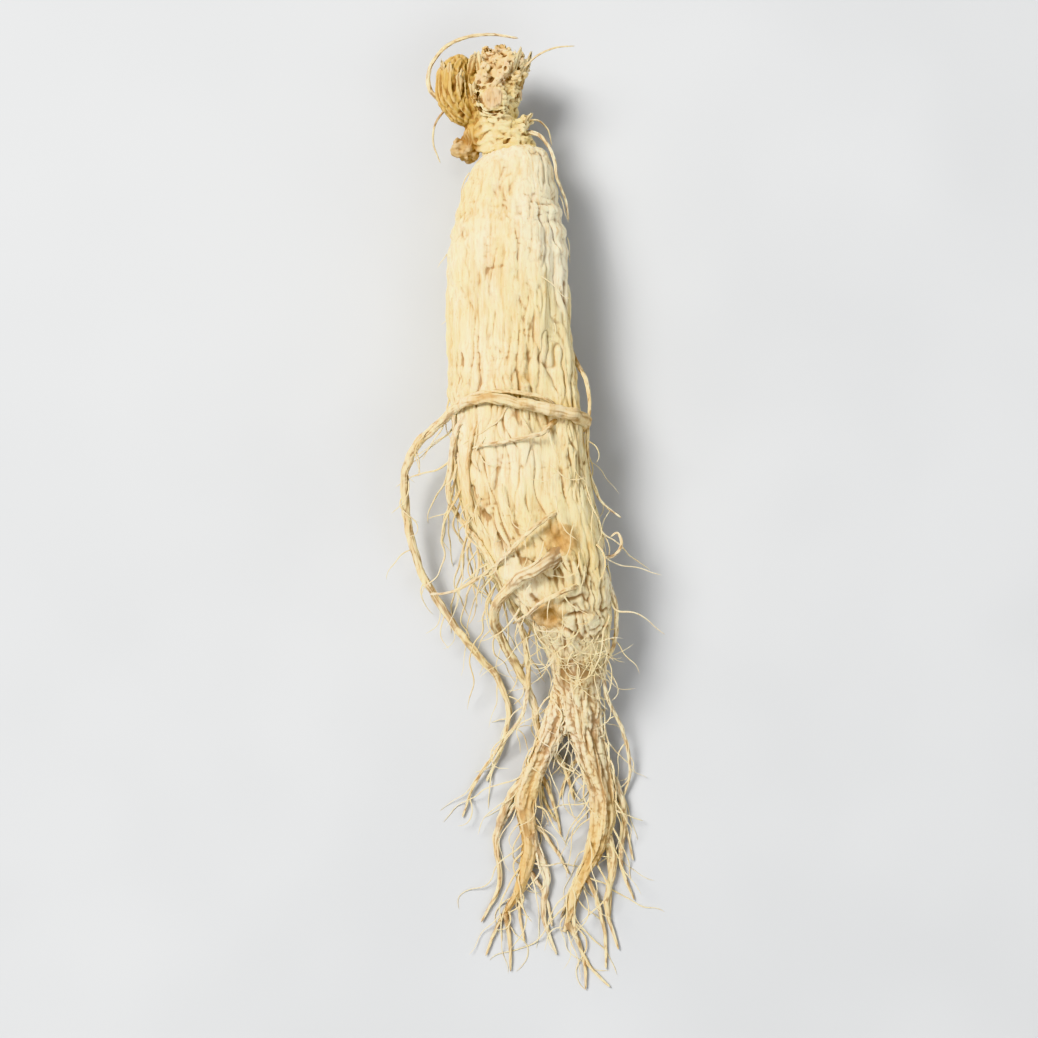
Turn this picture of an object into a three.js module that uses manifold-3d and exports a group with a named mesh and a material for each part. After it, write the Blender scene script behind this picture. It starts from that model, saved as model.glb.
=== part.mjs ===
// A dried ginseng root lying on a flat surface. A knotty rhizome, which carried the stems,
// sits on a plump body with ring wrinkles at its shoulder and long furrows below. The body
// thins into two legs, and long thin side roots have dried onto it. It grew as one piece,
// so it is one solid.
//
// Millimetres, +Z up. The root lies along Y with its rhizome towards +Y. The origin is the
// middle of the flat spot under its belly, on the surface that it rests on.

import * as THREE from "three";
import { mergeVertices } from "three/addons/utils/BufferGeometryUtils.js";
import Module from "manifold-3d";

// Driving dimensions, in millimetres and radians.

// The body. Each station is [y, x, z of its axis, half its width].
const STATIONS = [
  [47.2, -0.6, 11.2, 4.3],
  [46.3, 0.1, 11.2, 5.5],
  [44.6, -0.3, 11.1, 7.0],
  [41.3, -0.8, 11.0, 8.3],
  [38.0, -0.9, 10.9, 9.3],
  [33.0, -1.1, 10.7, 10.3],
  [26.7, -1.3, 10.4, 11.0],
  [14.0, -0.8, 10.1, 11.1],
  [0.0, 0.0, 10.4, 11.6],
  [-11.5, 0.9, 10.8, 12.0],
  [-17.2, 2.1, 10.8, 11.9],
  [-23.0, 3.9, 10.5, 11.5],
  [-29.0, 5.6, 10.1, 11.0],
  [-33.5, 7.4, 9.5, 9.9],
  [-37.5, 9.4, 8.6, 8.3],
  [-42.0, 10.7, 7.4, 6.2],
  [-47.0, 11.0, 6.2, 4.9],
  [-53.0, 11.8, 5.2, 3.9],
];
const FLATNESS = 0.93; // height of the body over its width
const BODY_SIDES = 36;
const BODY_STEPS = 52;
const SHOULDER_CROWDING = 1.25; // above 1, the steps crowd towards the shoulder

// Broad swellings, as shares of the radius: how many round the body, and their twist along it.
const LOBES = [
  { depth: 0.03, count: 2, pitch: 17, phase: 1 },
  { depth: 0.025, count: 3, pitch: -23, phase: 0 },
];
const BULGE = { depth: 0.015, pitch: 4.5, slant: 2 };

const FURROWS = 9;
const FURROW_DEPTH = 1.4;
const FURROW_WIDTH = 0.2;
const FURROW_SCATTER = { turn: 0.2, pace: 1.7 }; // how unevenly they stand round the body
const FURROW_WANDER = { turn: 0.1, pitch: 9, phase: 2.4 };
const FURROW_STRENGTH = { mean: 0.55, swing: 0.45, pitch: 14, phase: 1.3 };
const SMOOTH_SHOULDER = { top: 42, bottom: -30, share: 0.45 }; // furrows are shallow here

const RING_SPACING = 3.6;
const RING_DEPTH = 0.55;
const RING_WOBBLE = { wide: 0.5, fine: 0.3, phase: 0.8, pitch: 6 }; // they aren't level
const RING_BANDS = [
  { y: 34, spread: 9, strength: 1 },
  { y: 6, spread: 7, strength: 0.5 },
  { y: -27, spread: 8, strength: 0.6 },
];

const RESTING_ANGLE = -Math.PI / 2;
const RESTING_WIDTH = 0.5; // no furrow or lobe cuts the flat spot
const WRINKLED_RADIUS = 9; // where the body is thinner, its wrinkles are shallower

// The rhizome: an axis with its radii, and a pleated sheath on its left.
const HEAD_AXIS = [
  at(0.2, 43.6, 11.0),
  at(-2.0, 47.4, 11.2),
  at(-3.8, 50.4, 11.5),
  at(-4.4, 53.8, 11.8),
  at(-4.6, 57.4, 12.0),
  at(-4.6, 60.4, 12.2),
  at(-4.8, 62.6, 12.2),
];
const HEAD_RADII = [4.8, 4.6, 4.4, 4.2, 4.3, 4.1, 2.2];
const HEAD_LOBES = { depth: 0.07, count: 3, twist: 14 };
const HEAD_RINGS = { depth: 0.07, turns: 36 };
const HEAD_SIDES = 14;
const HEAD_STEPS = 18;
const SHEATH_AXIS = [
  at(-6.4, 50.8, 11.4),
  at(-9.0, 53.6, 11.8),
  at(-10.4, 57.0, 12.0),
  at(-10.2, 60.4, 12.2),
  at(-8.8, 62.8, 12.2),
];
const SHEATH_RADII = [1.0, 3.1, 4.0, 3.6, 1.4];
const SHEATH_PLEATS = { depth: 0.13, count: 7, twist: 2, sides: 4 }; // sides for each pleat
const SHEATH_STEPS = 6;

// Each knob is [x, y, z, radius].
const KNOBS = [
  [-4.2, 54.8, 14.2, 3.0],
  [0.2, 49.9, 12.4, 2.0],
  [-8.6, 46.6, 10.4, 2.2],
  [-7.0, 49.2, 11.4, 2.4],
  [-1.0, 56.6, 11.6, 2.3],
  [-5.8, 52.6, 8.6, 2.4],
  [-1.4, 53.4, 9.6, 2.0],
  [-2.9, 60.6, 12.2, 4.0],
];
// Each stem scar is a bowl cut into the rhizome: [x, y, z, radius].
const SCARS = [
  [-4.4, 55.4, 17.9, 1.9],
  [-7.6, 64.4, 12.6, 1.9],
  [-5.2, 58.4, 7.0, 2.0],
  [1.5, 57.6, 11.8, 1.5],
];
// The small papery bud knobs crowd the right of the crown.
const PEARLS = 15;
const PEARL_BED = { centre: at(-2.9, 60.6, 12.2), size: at(3.7, 3.3, 3.9) };
const PEARL_RADIUS = { mean: 0.95, swing: 0.4, pace: 5.1 };

// Side roots that lie on the body or beside it, each with its radii from base to tip.
// THIN and THICK are how far their axes clear the body's form. SUNK is inside it.
const THIN = 0.75;
const THICK = 1.2;
const SUNK = -1.7;
const SIDE_ROOT_STEP = 4.0;
const SIDE_ROOT_SIDES = { heavy: 6, fine: 4 };
const HEAVY_RADIUS = 0.8; // at its base
const SIDE_ROOTS = [
  {
    // The arm: out of the right flank, over the body, and down its left side.
    radii: [1.3, 1.15, 0.95, 0.8, 0.8, 0.78, 0.76, 0.74, 0.7, 0.5, 0.3],
    route: [
      at(8.6, -3.4, 10.5),
      at(12.0, -2.0, 13.4),
      over(9.4, -0.8, THICK),
      over(6.9, -0.2, THICK),
      over(2.0, 1.0, THICK),
      over(-3.0, 2.0, THICK),
      over(-8.0, 1.6, THICK),
      at(-11.6, -0.3, 15.6),
      at(-14.8, -3.0, 12.6),
      at(-17.8, -5.9, 10.4),
      at(-19.6, -10.0, 8.6),
      at(-19.9, -15.0, 7.2),
      at(-19.1, -21.5, 5.8),
      at(-17.2, -28.0, 4.6),
      at(-14.5, -33.0, 3.8),
      at(-11.2, -38.0, 3.2),
      at(-7.3, -42.9, 2.6),
      at(-3.6, -47.4, 2.0),
      at(-1.4, -53.0, 1.4),
      at(-2.6, -60.0, 0.9),
      at(-5.4, -66.5, 0.7),
    ],
  },
  {
    // Beside the arm, above it.
    radii: [0.5, 0.4, 0.4, 0.36, 0.3],
    route: [
      over(9.4, -1.2, SUNK),
      over(5.0, 2.0, THIN),
      over(-1.0, 3.2, THIN),
      over(-6.4, 3.0, THIN),
      over(-9.8, 0.6, THIN),
      over(-10.4, -3.6, THIN),
    ],
  },
  {
    // Below the arm, slanting off to the left.
    radii: [0.55, 0.42, 0.38, 0.3],
    route: [
      over(7.6, -1.6, SUNK),
      over(4.3, -4.0, THIN),
      over(2.0, -4.6, THIN),
      over(-1.3, -5.3, THIN),
      over(-4.6, -5.8, THIN),
      over(-7.4, -6.5, THIN),
    ],
  },
  {
    // The long thin one down the left flank.
    radii: [0.6, 0.5, 0.5, 0.5, 0.46, 0.4, 0.3],
    route: [
      over(-8.6, 0.6, SUNK),
      over(-10.0, -3.6, THIN),
      at(-11.6, -9.9, 13.6),
      at(-11.9, -14.9, 13.2),
      over(-9.4, -18.8, THICK),
      over(-6.6, -22.4, THIN),
      over(-3.4, -27.3, THIN),
      at(-1.6, -32.9, 14.0),
      at(1.0, -38.8, 11.4),
      at(2.2, -46.7, 8.0),
      at(1.0, -54.0, 5.0),
      at(-3.4, -60.4, 2.6),
      at(-7.6, -67.0, 1.0),
      at(-9.8, -73.0, 0.6),
    ],
  },
  {
    // The short one beside it.
    radii: [0.5, 0.4, 0.36, 0.32],
    route: [
      over(-6.8, 0.4, SUNK),
      over(-7.8, -6.1, THIN),
      over(-8.3, -11.4, THIN),
      over(-7.6, -16.0, THIN),
      over(-8.4, -20.4, SUNK),
    ],
  },
  {
    // The one that crosses from the right, above the first scar, to the left.
    radii: [0.5, 0.4, 0.36, 0.32],
    route: [
      over(9.4, -17.0, SUNK),
      over(4.3, -19.3, THIN),
      over(0.8, -22.6, THIN),
      over(-3.0, -26.7, THIN),
      at(-6.9, -29.4, 13.6),
      at(-11.4, -31.7, 12.0),
      at(-15.4, -32.2, 9.4),
    ],
  },
  {
    // The hooked one below the first scar.
    radii: [1.35, 1.1, 1.0, 0.9, 0.8, 0.7, 0.5, 0.35],
    route: [
      over(8.0, -24.8, 1.5 * SUNK),
      over(5.0, -26.6, THICK),
      over(2.2, -28.2, THICK),
      at(-1.0, -30.8, 17.4),
      at(-3.2, -33.4, 15.4),
      at(-3.9, -36.6, 12.6),
      at(-2.4, -40.6, 9.8),
      at(0.0, -45.2, 7.4),
      at(3.0, -51.4, 5.0),
      at(4.4, -58.0, 3.0),
      at(8.6, -63.6, 1.6),
      at(10.6, -70.0, 0.7),
    ],
  },
  {
    // The thin one between the two scars.
    radii: [0.5, 0.42, 0.36, 0.32],
    route: [
      over(12.2, -30.2, SUNK),
      over(8.6, -31.2, THIN),
      over(4.8, -33.2, THIN),
      over(2.6, -35.4, THIN),
      at(-0.6, -37.4, 10.6),
    ],
  },
  {
    // Down the right flank, past the lower end.
    radii: [0.5, 0.44, 0.42, 0.4, 0.3],
    route: [
      over(14.2, -26.4, SUNK),
      at(16.8, -31.2, 11.8),
      at(17.9, -37.0, 10.2),
      at(17.3, -41.6, 8.8),
      at(15.8, -45.0, 8.2),
      at(16.2, -50.4, 6.4),
      at(19.2, -57.0, 3.8),
      at(20.6, -64.6, 1.6),
      at(18.8, -71.0, 0.6),
    ],
  },
  {
    // The small loop off the right flank.
    radii: [0.5, 0.36, 0.32, 0.3],
    route: [
      over(13.8, -24.8, SUNK),
      at(17.0, -25.4, 12.8),
      at(18.6, -23.2, 13.6),
      at(17.8, -21.2, 13.2),
      at(16.6, -22.0, 12.8),
    ],
  },
  {
    // Down the right flank from the waist.
    radii: [0.5, 0.36, 0.34, 0.3],
    route: [
      at(9.6, 10.6, 11.6),
      at(12.2, 6.0, 13.0),
      at(12.9, 2.0, 13.6),
      at(12.6, -4.6, 13.4),
      at(13.0, -10.6, 13.0),
      at(15.0, -15.6, 12.2),
      at(18.6, -18.6, 11.4),
    ],
  },
  {
    // From the neck over the right shoulder.
    radii: [0.5, 0.36, 0.34, 0.3],
    route: [
      at(0.2, 49.4, 11.8),
      at(3.0, 49.3, 13.0),
      at(5.1, 47.8, 13.4),
      at(6.6, 45.0, 13.6),
      over(7.2, 41.4, THIN),
      over(8.6, 38.2, THIN),
      over(9.0, 34.0, THIN),
    ],
  },
  {
    // Round the rhizome.
    radii: [0.55, 0.38, 0.34, 0.3],
    route: [
      at(-11.6, 54.4, 10.6),
      at(-15.2, 57.1, 11.6),
      at(-15.4, 60.1, 12.4),
      at(-13.6, 63.4, 13.0),
      at(-9.9, 65.8, 13.4),
      at(-4.1, 66.6, 13.4),
      at(0.4, 66.0, 13.0),
    ],
  },
];

// The legs.
const LEG_RIDGES = { depth: 0.12, count: 4, twist: 6 };
const LEG_SIDES = 9;
const LEG_STEPS = 14;
const LEGS = [
  {
    radii: [4.7, 4.3, 3.6, 3.0, 2.5, 2.1, 1.6, 1.1, 0.6],
    route: [
      at(11.0, -44.0, 6.8),
      at(11.8, -53.0, 5.2),
      at(13.4, -61.0, 4.0),
      at(15.6, -69.0, 3.0),
      at(14.6, -78.0, 2.3),
      at(11.0, -86.0, 1.6),
      at(8.6, -94.0, 0.8),
    ],
  },
  {
    radii: [3.4, 3.1, 2.6, 2.2, 1.8, 1.4, 1.0, 0.5],
    route: [
      at(10.2, -45.0, 6.0),
      at(8.0, -54.0, 4.4),
      at(4.2, -62.0, 3.2),
      at(1.6, -70.0, 2.4),
      at(2.4, -78.0, 1.9),
      at(0.4, -86.0, 1.3),
      at(-3.2, -92.0, 0.7),
    ],
  },
];

// The beard: fine rootlets off the legs, drawn from a seeded rule.
const BEARD = {
  seed: 5,
  perLeg: 8,
  from: 0.3, // the share of the leg where it starts
  to: 0.96,
  reach: [9, 20],
  spread: [0.25, 0.9],
  bend: [0.2, 1.1],
  pieces: 4,
  landing: 3, // the piece of it that first lies on the surface
  radii: [0.55, 0.45, 0.38, 0.32],
  floor: 0.55, // the lowest height of a rootlet's axis
};

// Round scars on the body where side roots broke off: a low mound with a pit.
const BROKEN_ROOTS = [
  { x: 7.8, y: -22.4, radius: 2.5 },
  { x: 5.6, y: -35.6, radius: 2.4 },
  { x: 1.6, y: 5.4, radius: 1.5 },
];
const MOUND_SUNK = 0.5; // shares of the mound's radius
const PIT_LIFT = 0.75;
const PIT_RADIUS = 0.55;

const BALL_DETAIL = 1;
const MERGED = 1e-4; // points closer than this are one

const SURFACE_SLAB = { width: 200, length: 300, thickness: 20 };

const SKIN = new THREE.MeshStandardMaterial({
  color: 0xe2d3a4,
  roughness: 0.85,
  metalness: 0,
});

function at(x, y, z) {
  return new THREE.Vector3(x, y, z);
}

function bell(x) {
  return Math.exp(-x * x);
}

// The angle from one direction to another, between -pi and pi.
function turn(from, to) {
  return Math.atan2(Math.sin(to - from), Math.cos(to - from));
}

// The body's form.

// A column of the stations at height y, on a smooth curve through them.
function alongBody(y, column) {
  let i = 0;
  while (i < STATIONS.length - 2 && y < STATIONS[i + 1][0]) i += 1;
  const slope = (k) => {
    const before = STATIONS[Math.max(k - 1, 0)];
    const after = STATIONS[Math.min(k + 1, STATIONS.length - 1)];
    return (after[column] - before[column]) / (after[0] - before[0]);
  };
  const [start, end] = [STATIONS[i], STATIONS[i + 1]];
  const span = end[0] - start[0];
  const t = THREE.MathUtils.clamp((y - start[0]) / span, 0, 1);
  const t2 = t * t;
  const t3 = t2 * t;
  return (
    (2 * t3 - 3 * t2 + 1) * start[column] +
    (t3 - 2 * t2 + t) * span * slope(i) +
    (3 * t2 - 2 * t3) * end[column] +
    (t3 - t2) * span * slope(i + 1)
  );
}

// How deep the long furrows cut in at height y and angle a round the body.
function furrowDepth(y, a) {
  const { turn: wander, pitch, phase } = FURROW_WANDER;
  const { mean, swing } = FURROW_STRENGTH;
  let cut = 0;
  for (let k = 0; k < FURROWS; k += 1) {
    const centre =
      (k * 2 * Math.PI) / FURROWS +
      FURROW_SCATTER.turn * Math.sin(FURROW_SCATTER.pace * k) +
      wander * Math.sin(y / pitch + phase * k);
    const wave = Math.sin(y / FURROW_STRENGTH.pitch + FURROW_STRENGTH.phase * k);
    cut += (mean + swing * wave) * bell(turn(centre, a) / FURROW_WIDTH);
  }
  const { top, bottom, share } = SMOOTH_SHOULDER;
  const lower = THREE.MathUtils.smoothstep(-y, -top, -bottom);
  return FURROW_DEPTH * cut * (share + (1 - share) * lower);
}

// How deep the ring wrinkles cut in: close at the shoulder, and weak in two bands below.
function ringDepth(y, a) {
  const { wide, fine, phase, pitch } = RING_WOBBLE;
  const wobble = wide * Math.sin(2 * a + phase) + fine * Math.sin(3 * a + y / pitch);
  const wave = Math.sin((Math.PI * (y + wobble)) / RING_SPACING) ** 2;
  const strength = RING_BANDS.reduce(
    (sum, band) => sum + band.strength * bell((y - band.y) / band.spread),
    0,
  );
  return RING_DEPTH * strength * wave;
}

// How far the flat spot below leaves the form free: 0 on it and 1 away from it.
function freedom(a) {
  return 1 - bell(turn(RESTING_ANGLE, a) / RESTING_WIDTH);
}

// The distance from the body's axis to its form without wrinkles, at height y and angle a,
// where the body counts as round.
function formRadius(y, a) {
  let swelling = BULGE.depth * Math.sin(y / BULGE.pitch + BULGE.slant * Math.sin(a));
  for (const { depth, count, pitch, phase } of LOBES) {
    swelling += depth * Math.sin(count * a + y / pitch + phase);
  }
  return alongBody(y, 3) * (1 + swelling * freedom(a));
}

// The same distance to the wrinkled skin.
function skinRadius(y, a) {
  const share = freedom(a) * Math.min(1, alongBody(y, 3) / WRINKLED_RADIUS);
  return formRadius(y, a) - (furrowDepth(y, a) + ringDepth(y, a)) * share;
}

// The point of the body at height y and angle a, at that distance from its axis.
function around(y, a, radius) {
  return at(
    alongBody(y, 1) + radius * Math.cos(a),
    y,
    alongBody(y, 2) + FLATNESS * radius * Math.sin(a),
  );
}

// The point above the body's upper form at x and y, lifted off it.
function over(x, y, lift) {
  const across = (x - alongBody(y, 1)) / alongBody(y, 3);
  const a = Math.acos(THREE.MathUtils.clamp(across, -1, 1));
  return around(y, a, formRadius(y, a) + lift);
}

// Shapes.

function ball(x, y, z, radius) {
  return new THREE.IcosahedronGeometry(radius, BALL_DETAIL).translate(x, y, z);
}

// A closed tube along a smooth curve: a cylinder bent onto it, with a radius that varies.
function sweep(points, radiusAt, sides, steps) {
  const curve = new THREE.CatmullRomCurve3(points, false, "centripetal");
  const frames = curve.computeFrenetFrames(steps, false);
  const tube = new THREE.CylinderGeometry(1, 1, 1, sides, steps);
  const position = tube.getAttribute("position");
  for (let i = 0; i < position.count; i += 1) {
    const share = 0.5 - position.getY(i);
    const step = Math.round(share * steps);
    const [side, up] = [position.getX(i), position.getZ(i)];
    const radius = radiusAt(share, Math.atan2(up, side));
    const point = curve
      .getPointAt(share)
      .addScaledVector(frames.normals[step], radius * side)
      .addScaledVector(frames.binormals[step], radius * up);
    position.setXYZ(i, point.x, point.y, point.z);
  }
  return tube;
}

// A radius that runs through evenly spaced values.
function through(radii) {
  return (share) => {
    const place = share * (radii.length - 1);
    const i = Math.min(Math.floor(place), radii.length - 2);
    return THREE.MathUtils.lerp(radii[i], radii[i + 1], place - i);
  };
}

// The main root: a cylinder whose rings take the body's sections.
function body() {
  const tube = new THREE.CylinderGeometry(1, 1, 1, BODY_SIDES, BODY_STEPS);
  const position = tube.getAttribute("position");
  const top = STATIONS[0][0];
  const length = top - STATIONS[STATIONS.length - 1][0];
  for (let i = 0; i < position.count; i += 1) {
    const share = 0.5 - position.getY(i);
    const y = top - length * share ** SHOULDER_CROWDING;
    const [across, up] = [position.getX(i), position.getZ(i)];
    const a = Math.atan2(up, across);
    const reach = Math.hypot(across, up);
    const point = around(y, a, reach * skinRadius(y, a));
    position.setXYZ(i, point.x, point.y, point.z);
  }
  return tube;
}

function headCore() {
  const profile = through(HEAD_RADII);
  const radius = (share, a) =>
    profile(share) *
    (1 +
      HEAD_LOBES.depth * Math.sin(HEAD_LOBES.count * a + HEAD_LOBES.twist * share) +
      HEAD_RINGS.depth * Math.sin(HEAD_RINGS.turns * share));
  return sweep(HEAD_AXIS, radius, HEAD_SIDES, HEAD_STEPS);
}

function sheath() {
  const profile = through(SHEATH_RADII);
  const { depth, count, twist, sides } = SHEATH_PLEATS;
  const radius = (share, a) =>
    profile(share) * (1 + depth * Math.cos(count * a + twist * share));
  return sweep(SHEATH_AXIS, radius, sides * count, SHEATH_STEPS);
}

// The pearls stand evenly spread on an ellipsoid.
function pearls() {
  const golden = Math.PI * (3 - Math.sqrt(5));
  const { centre, size } = PEARL_BED;
  return Array.from({ length: PEARLS }, (_, i) => {
    const height = 1 - (2 * i + 1) / PEARLS;
    const level = Math.sqrt(1 - height * height);
    return ball(
      centre.x + size.x * level * Math.cos(golden * i),
      centre.y + size.y * level * Math.sin(golden * i),
      centre.z + size.z * height,
      PEARL_RADIUS.mean + PEARL_RADIUS.swing * Math.sin(PEARL_RADIUS.pace * i),
    );
  });
}

function leg({ route, radii }) {
  const profile = through(radii);
  const { depth, count, twist } = LEG_RIDGES;
  const radius = (share, a) =>
    profile(share) * (1 + depth * Math.sin(count * a + twist * share));
  return sweep(route, radius, LEG_SIDES, LEG_STEPS);
}

function length(route) {
  return route.reduce(
    (sum, point, i) => sum + (i ? point.distanceTo(route[i - 1]) : 0),
    0,
  );
}

function rootlet({ route, radii }) {
  const sides = radii[0] > HEAVY_RADIUS ? SIDE_ROOT_SIDES.heavy : SIDE_ROOT_SIDES.fine;
  const steps = Math.ceil(length(route) / SIDE_ROOT_STEP);
  return sweep(route, through(radii), sides, steps);
}

// Evenly spread numbers from 0 to 1, the same on every run.
function seeded(seed) {
  const [factor, shift, range] = [1664525, 1013904223, 2 ** 32];
  let state = seed >>> 0;
  return () => {
    state = (Math.imul(state, factor) + shift) >>> 0;
    return state / range;
  };
}

// One beard rootlet: it leaves the leg at an angle, bends back, and sinks to the surface.
function beardRoute(start, side, random) {
  const reach = THREE.MathUtils.lerp(...BEARD.reach, random());
  const spread = side * THREE.MathUtils.lerp(...BEARD.spread, random());
  const bend = -side * THREE.MathUtils.lerp(...BEARD.bend, random());
  const piece = reach / BEARD.pieces;
  const route = [start];
  for (let k = 1; k <= BEARD.pieces; k += 1) {
    const heading = spread + (bend * k) / BEARD.pieces;
    const last = route[k - 1];
    route.push(
      at(
        last.x + piece * Math.sin(heading),
        last.y - piece * Math.cos(heading),
        Math.max(BEARD.floor, start.z * (1 - k / BEARD.landing)),
      ),
    );
  }
  return route;
}

function beard() {
  const random = seeded(BEARD.seed);
  const made = [];
  for (const { route } of LEGS) {
    const curve = new THREE.CatmullRomCurve3(route, false, "centripetal");
    for (let i = 0; i < BEARD.perLeg; i += 1) {
      const share = THREE.MathUtils.lerp(BEARD.from, BEARD.to, i / (BEARD.perLeg - 1));
      const side = i % 2 ? 1 : -1;
      const path = beardRoute(curve.getPointAt(share), side, random);
      made.push(rootlet({ route: path, radii: BEARD.radii }));
    }
  }
  return made;
}

function mound({ x, y, radius }) {
  const centre = over(x, y, -MOUND_SUNK * radius);
  return ball(centre.x, centre.y, centre.z, radius);
}

function pit({ x, y, radius }) {
  const centre = over(x, y, PIT_LIFT * radius);
  return ball(centre.x, centre.y, centre.z, PIT_RADIUS * radius);
}

// What lies below the surface, which the flat spot is cut along.
function slab() {
  const { width, length: reach, thickness } = SURFACE_SLAB;
  return new THREE.BoxGeometry(width, reach, thickness).translate(0, 0, -thickness / 2);
}

// Joining and cutting.

const wasm = await Module();
wasm.setup();

function solid(geometry) {
  const bare = geometry.clone();
  bare.deleteAttribute("normal");
  bare.deleteAttribute("uv");
  const merged = mergeVertices(bare, MERGED);
  return new wasm.Manifold(
    new wasm.Mesh({
      numProp: 3,
      vertProperties: merged.getAttribute("position").array,
      triVerts: new Uint32Array(merged.index.array),
    }),
  );
}

function geometryOf(made) {
  const mesh = made.getMesh();
  return new THREE.BufferGeometry()
    .setAttribute(
      "position",
      new THREE.BufferAttribute(mesh.vertProperties, mesh.numProp),
    )
    .setIndex(new THREE.BufferAttribute(mesh.triVerts, 1));
}

const grown = [
  body(),
  headCore(),
  sheath(),
  ...KNOBS.map((knob) => ball(...knob)),
  ...pearls(),
  ...LEGS.map(leg),
  ...SIDE_ROOTS.map(rootlet),
  ...beard(),
  ...BROKEN_ROOTS.map(mound),
];
const cuts = [...SCARS.map((scar) => ball(...scar)), ...BROKEN_ROOTS.map(pit), slab()];

let whole = solid(grown[0]);
for (const piece of grown.slice(1)) whole = whole.add(solid(piece));
for (const piece of cuts) whole = whole.subtract(solid(piece));

const root = new THREE.Mesh(geometryOf(whole), SKIN);
root.name = "ginseng_root";
root.geometry.computeVertexNormals();

const part = new THREE.Group();
part.add(root);

export default part;
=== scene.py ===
"""A dried ginseng root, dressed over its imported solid.

The form of the body, its furrows and the routes of its side roots are those of the solid.
Here they get their fine wrinkles, a knotted rhizome with papery scales, and fine hairs.
Lengths are in millimetres until a mesh is made, and then in metres.
"""

import math

import bpy
import numpy as np
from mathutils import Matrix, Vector


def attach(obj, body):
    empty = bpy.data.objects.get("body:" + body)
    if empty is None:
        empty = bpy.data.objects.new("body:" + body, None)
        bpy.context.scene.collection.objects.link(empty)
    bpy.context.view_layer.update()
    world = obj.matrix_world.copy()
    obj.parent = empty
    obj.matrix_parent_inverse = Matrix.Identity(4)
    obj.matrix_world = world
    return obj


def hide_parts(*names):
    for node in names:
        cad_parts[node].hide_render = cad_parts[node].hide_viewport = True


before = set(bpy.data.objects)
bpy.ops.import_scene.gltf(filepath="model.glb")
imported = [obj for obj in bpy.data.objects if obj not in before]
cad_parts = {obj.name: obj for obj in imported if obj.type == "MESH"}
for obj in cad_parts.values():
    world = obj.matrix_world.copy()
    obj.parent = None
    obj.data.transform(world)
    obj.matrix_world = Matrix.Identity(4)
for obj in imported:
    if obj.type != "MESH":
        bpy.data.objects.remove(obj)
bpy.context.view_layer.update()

MM = 0.001
NODE = "ginseng_root"
BODY = "root"
TAU = 2 * math.pi

# The body, as in the solid. Each station is [y, x, z of its axis, half its width].
STATIONS = np.array([
    [47.2, -0.6, 11.2, 4.3],
    [46.3, 0.1, 11.2, 5.5],
    [44.6, -0.3, 11.1, 7.0],
    [41.3, -0.8, 11.0, 8.3],
    [38.0, -0.9, 10.9, 9.3],
    [33.0, -1.1, 10.7, 10.3],
    [26.7, -1.3, 10.4, 11.0],
    [14.0, -0.8, 10.1, 11.1],
    [0.0, 0.0, 10.4, 11.6],
    [-11.5, 0.9, 10.8, 12.0],
    [-17.2, 2.1, 10.8, 11.9],
    [-23.0, 3.9, 10.5, 11.5],
    [-29.0, 5.6, 10.1, 11.0],
    [-33.5, 7.4, 9.5, 9.9],
    [-37.5, 9.4, 8.6, 8.3],
    [-42.0, 10.7, 7.4, 6.2],
    [-47.0, 11.0, 6.2, 4.9],
    [-53.0, 11.8, 5.2, 4.1],
    [-61.0, 13.4, 4.0, 3.2],
    [-69.0, 15.6, 3.0, 2.55],
    [-78.0, 14.6, 2.3, 1.95],
    [-86.0, 11.0, 1.6, 1.3],
    [-94.0, 8.6, 0.8, 0.6],
])
FLATNESS = 0.93
LOBES = [(0.03, 2, 17, 1), (0.025, 3, -23, 0)]
BULGE_DEPTH, BULGE_PITCH, BULGE_SLANT = 0.015, 4.5, 2
FURROWS, FURROW_DEPTH, FURROW_WIDTH = 9, 1.4, 0.2
SCATTER_TURN, SCATTER_PACE = 0.2, 1.7
WANDER_TURN, WANDER_PITCH, WANDER_PHASE = 0.1, 9, 2.4
STRENGTH_MEAN, STRENGTH_SWING, STRENGTH_PITCH, STRENGTH_PHASE = 0.55, 0.45, 14, 1.3
SMOOTH_TOP, SMOOTH_BOTTOM, SMOOTH_SHARE = 42, -30, 0.45
RING_SPACING, RING_DEPTH = 3.6, 0.55
WOBBLE_WIDE, WOBBLE_FINE, WOBBLE_PHASE, WOBBLE_PITCH = 0.5, 0.3, 0.8, 6
RING_BANDS = [(34, 9, 1), (6, 7, 0.5), (-27, 8, 0.6)]
RESTING_ANGLE, RESTING_WIDTH = -math.pi / 2, 0.5
WRINKLED_RADIUS = 9

BODY_SIDES, BODY_STEP = 220, 0.6
BODY_VOXEL, HEAD_VOXEL = 0.215, 0.16
MOST_TRIANGLES = 198000


# Numbers

PRIMES, MIXER, WORD = (73856093, 19349663, 83492791, 2654435761), 0x45D9F3B, 0xFFFFFFFF
NOISE_GAIN = 1.7  # brings the noise to about -1 to 1
CREASE_FLOOR = 1.3  # the power that shapes a crease: more makes its floor rounder
SLOPE_STEP, LEAST_SLOPE = 0.2, 0.4  # in cells, and in noise for each cell


def smooth(x, low, high):
    t = np.clip((x - low) / (high - low), 0, 1)
    return t * t * (3 - 2 * t)


def bell(x):
    return np.exp(-np.square(x))


def stacked(*axes):
    """Points whose coordinates are these arrays, spread to one shape."""
    return np.stack(np.broadcast_arrays(*axes), axis=-1)


def full_turn(count):
    """Angles evenly spaced round a tube."""
    return np.linspace(0, TAU, count, endpoint=False)


def turn(start, end):
    return np.arctan2(np.sin(end - start), np.cos(end - start))


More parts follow.
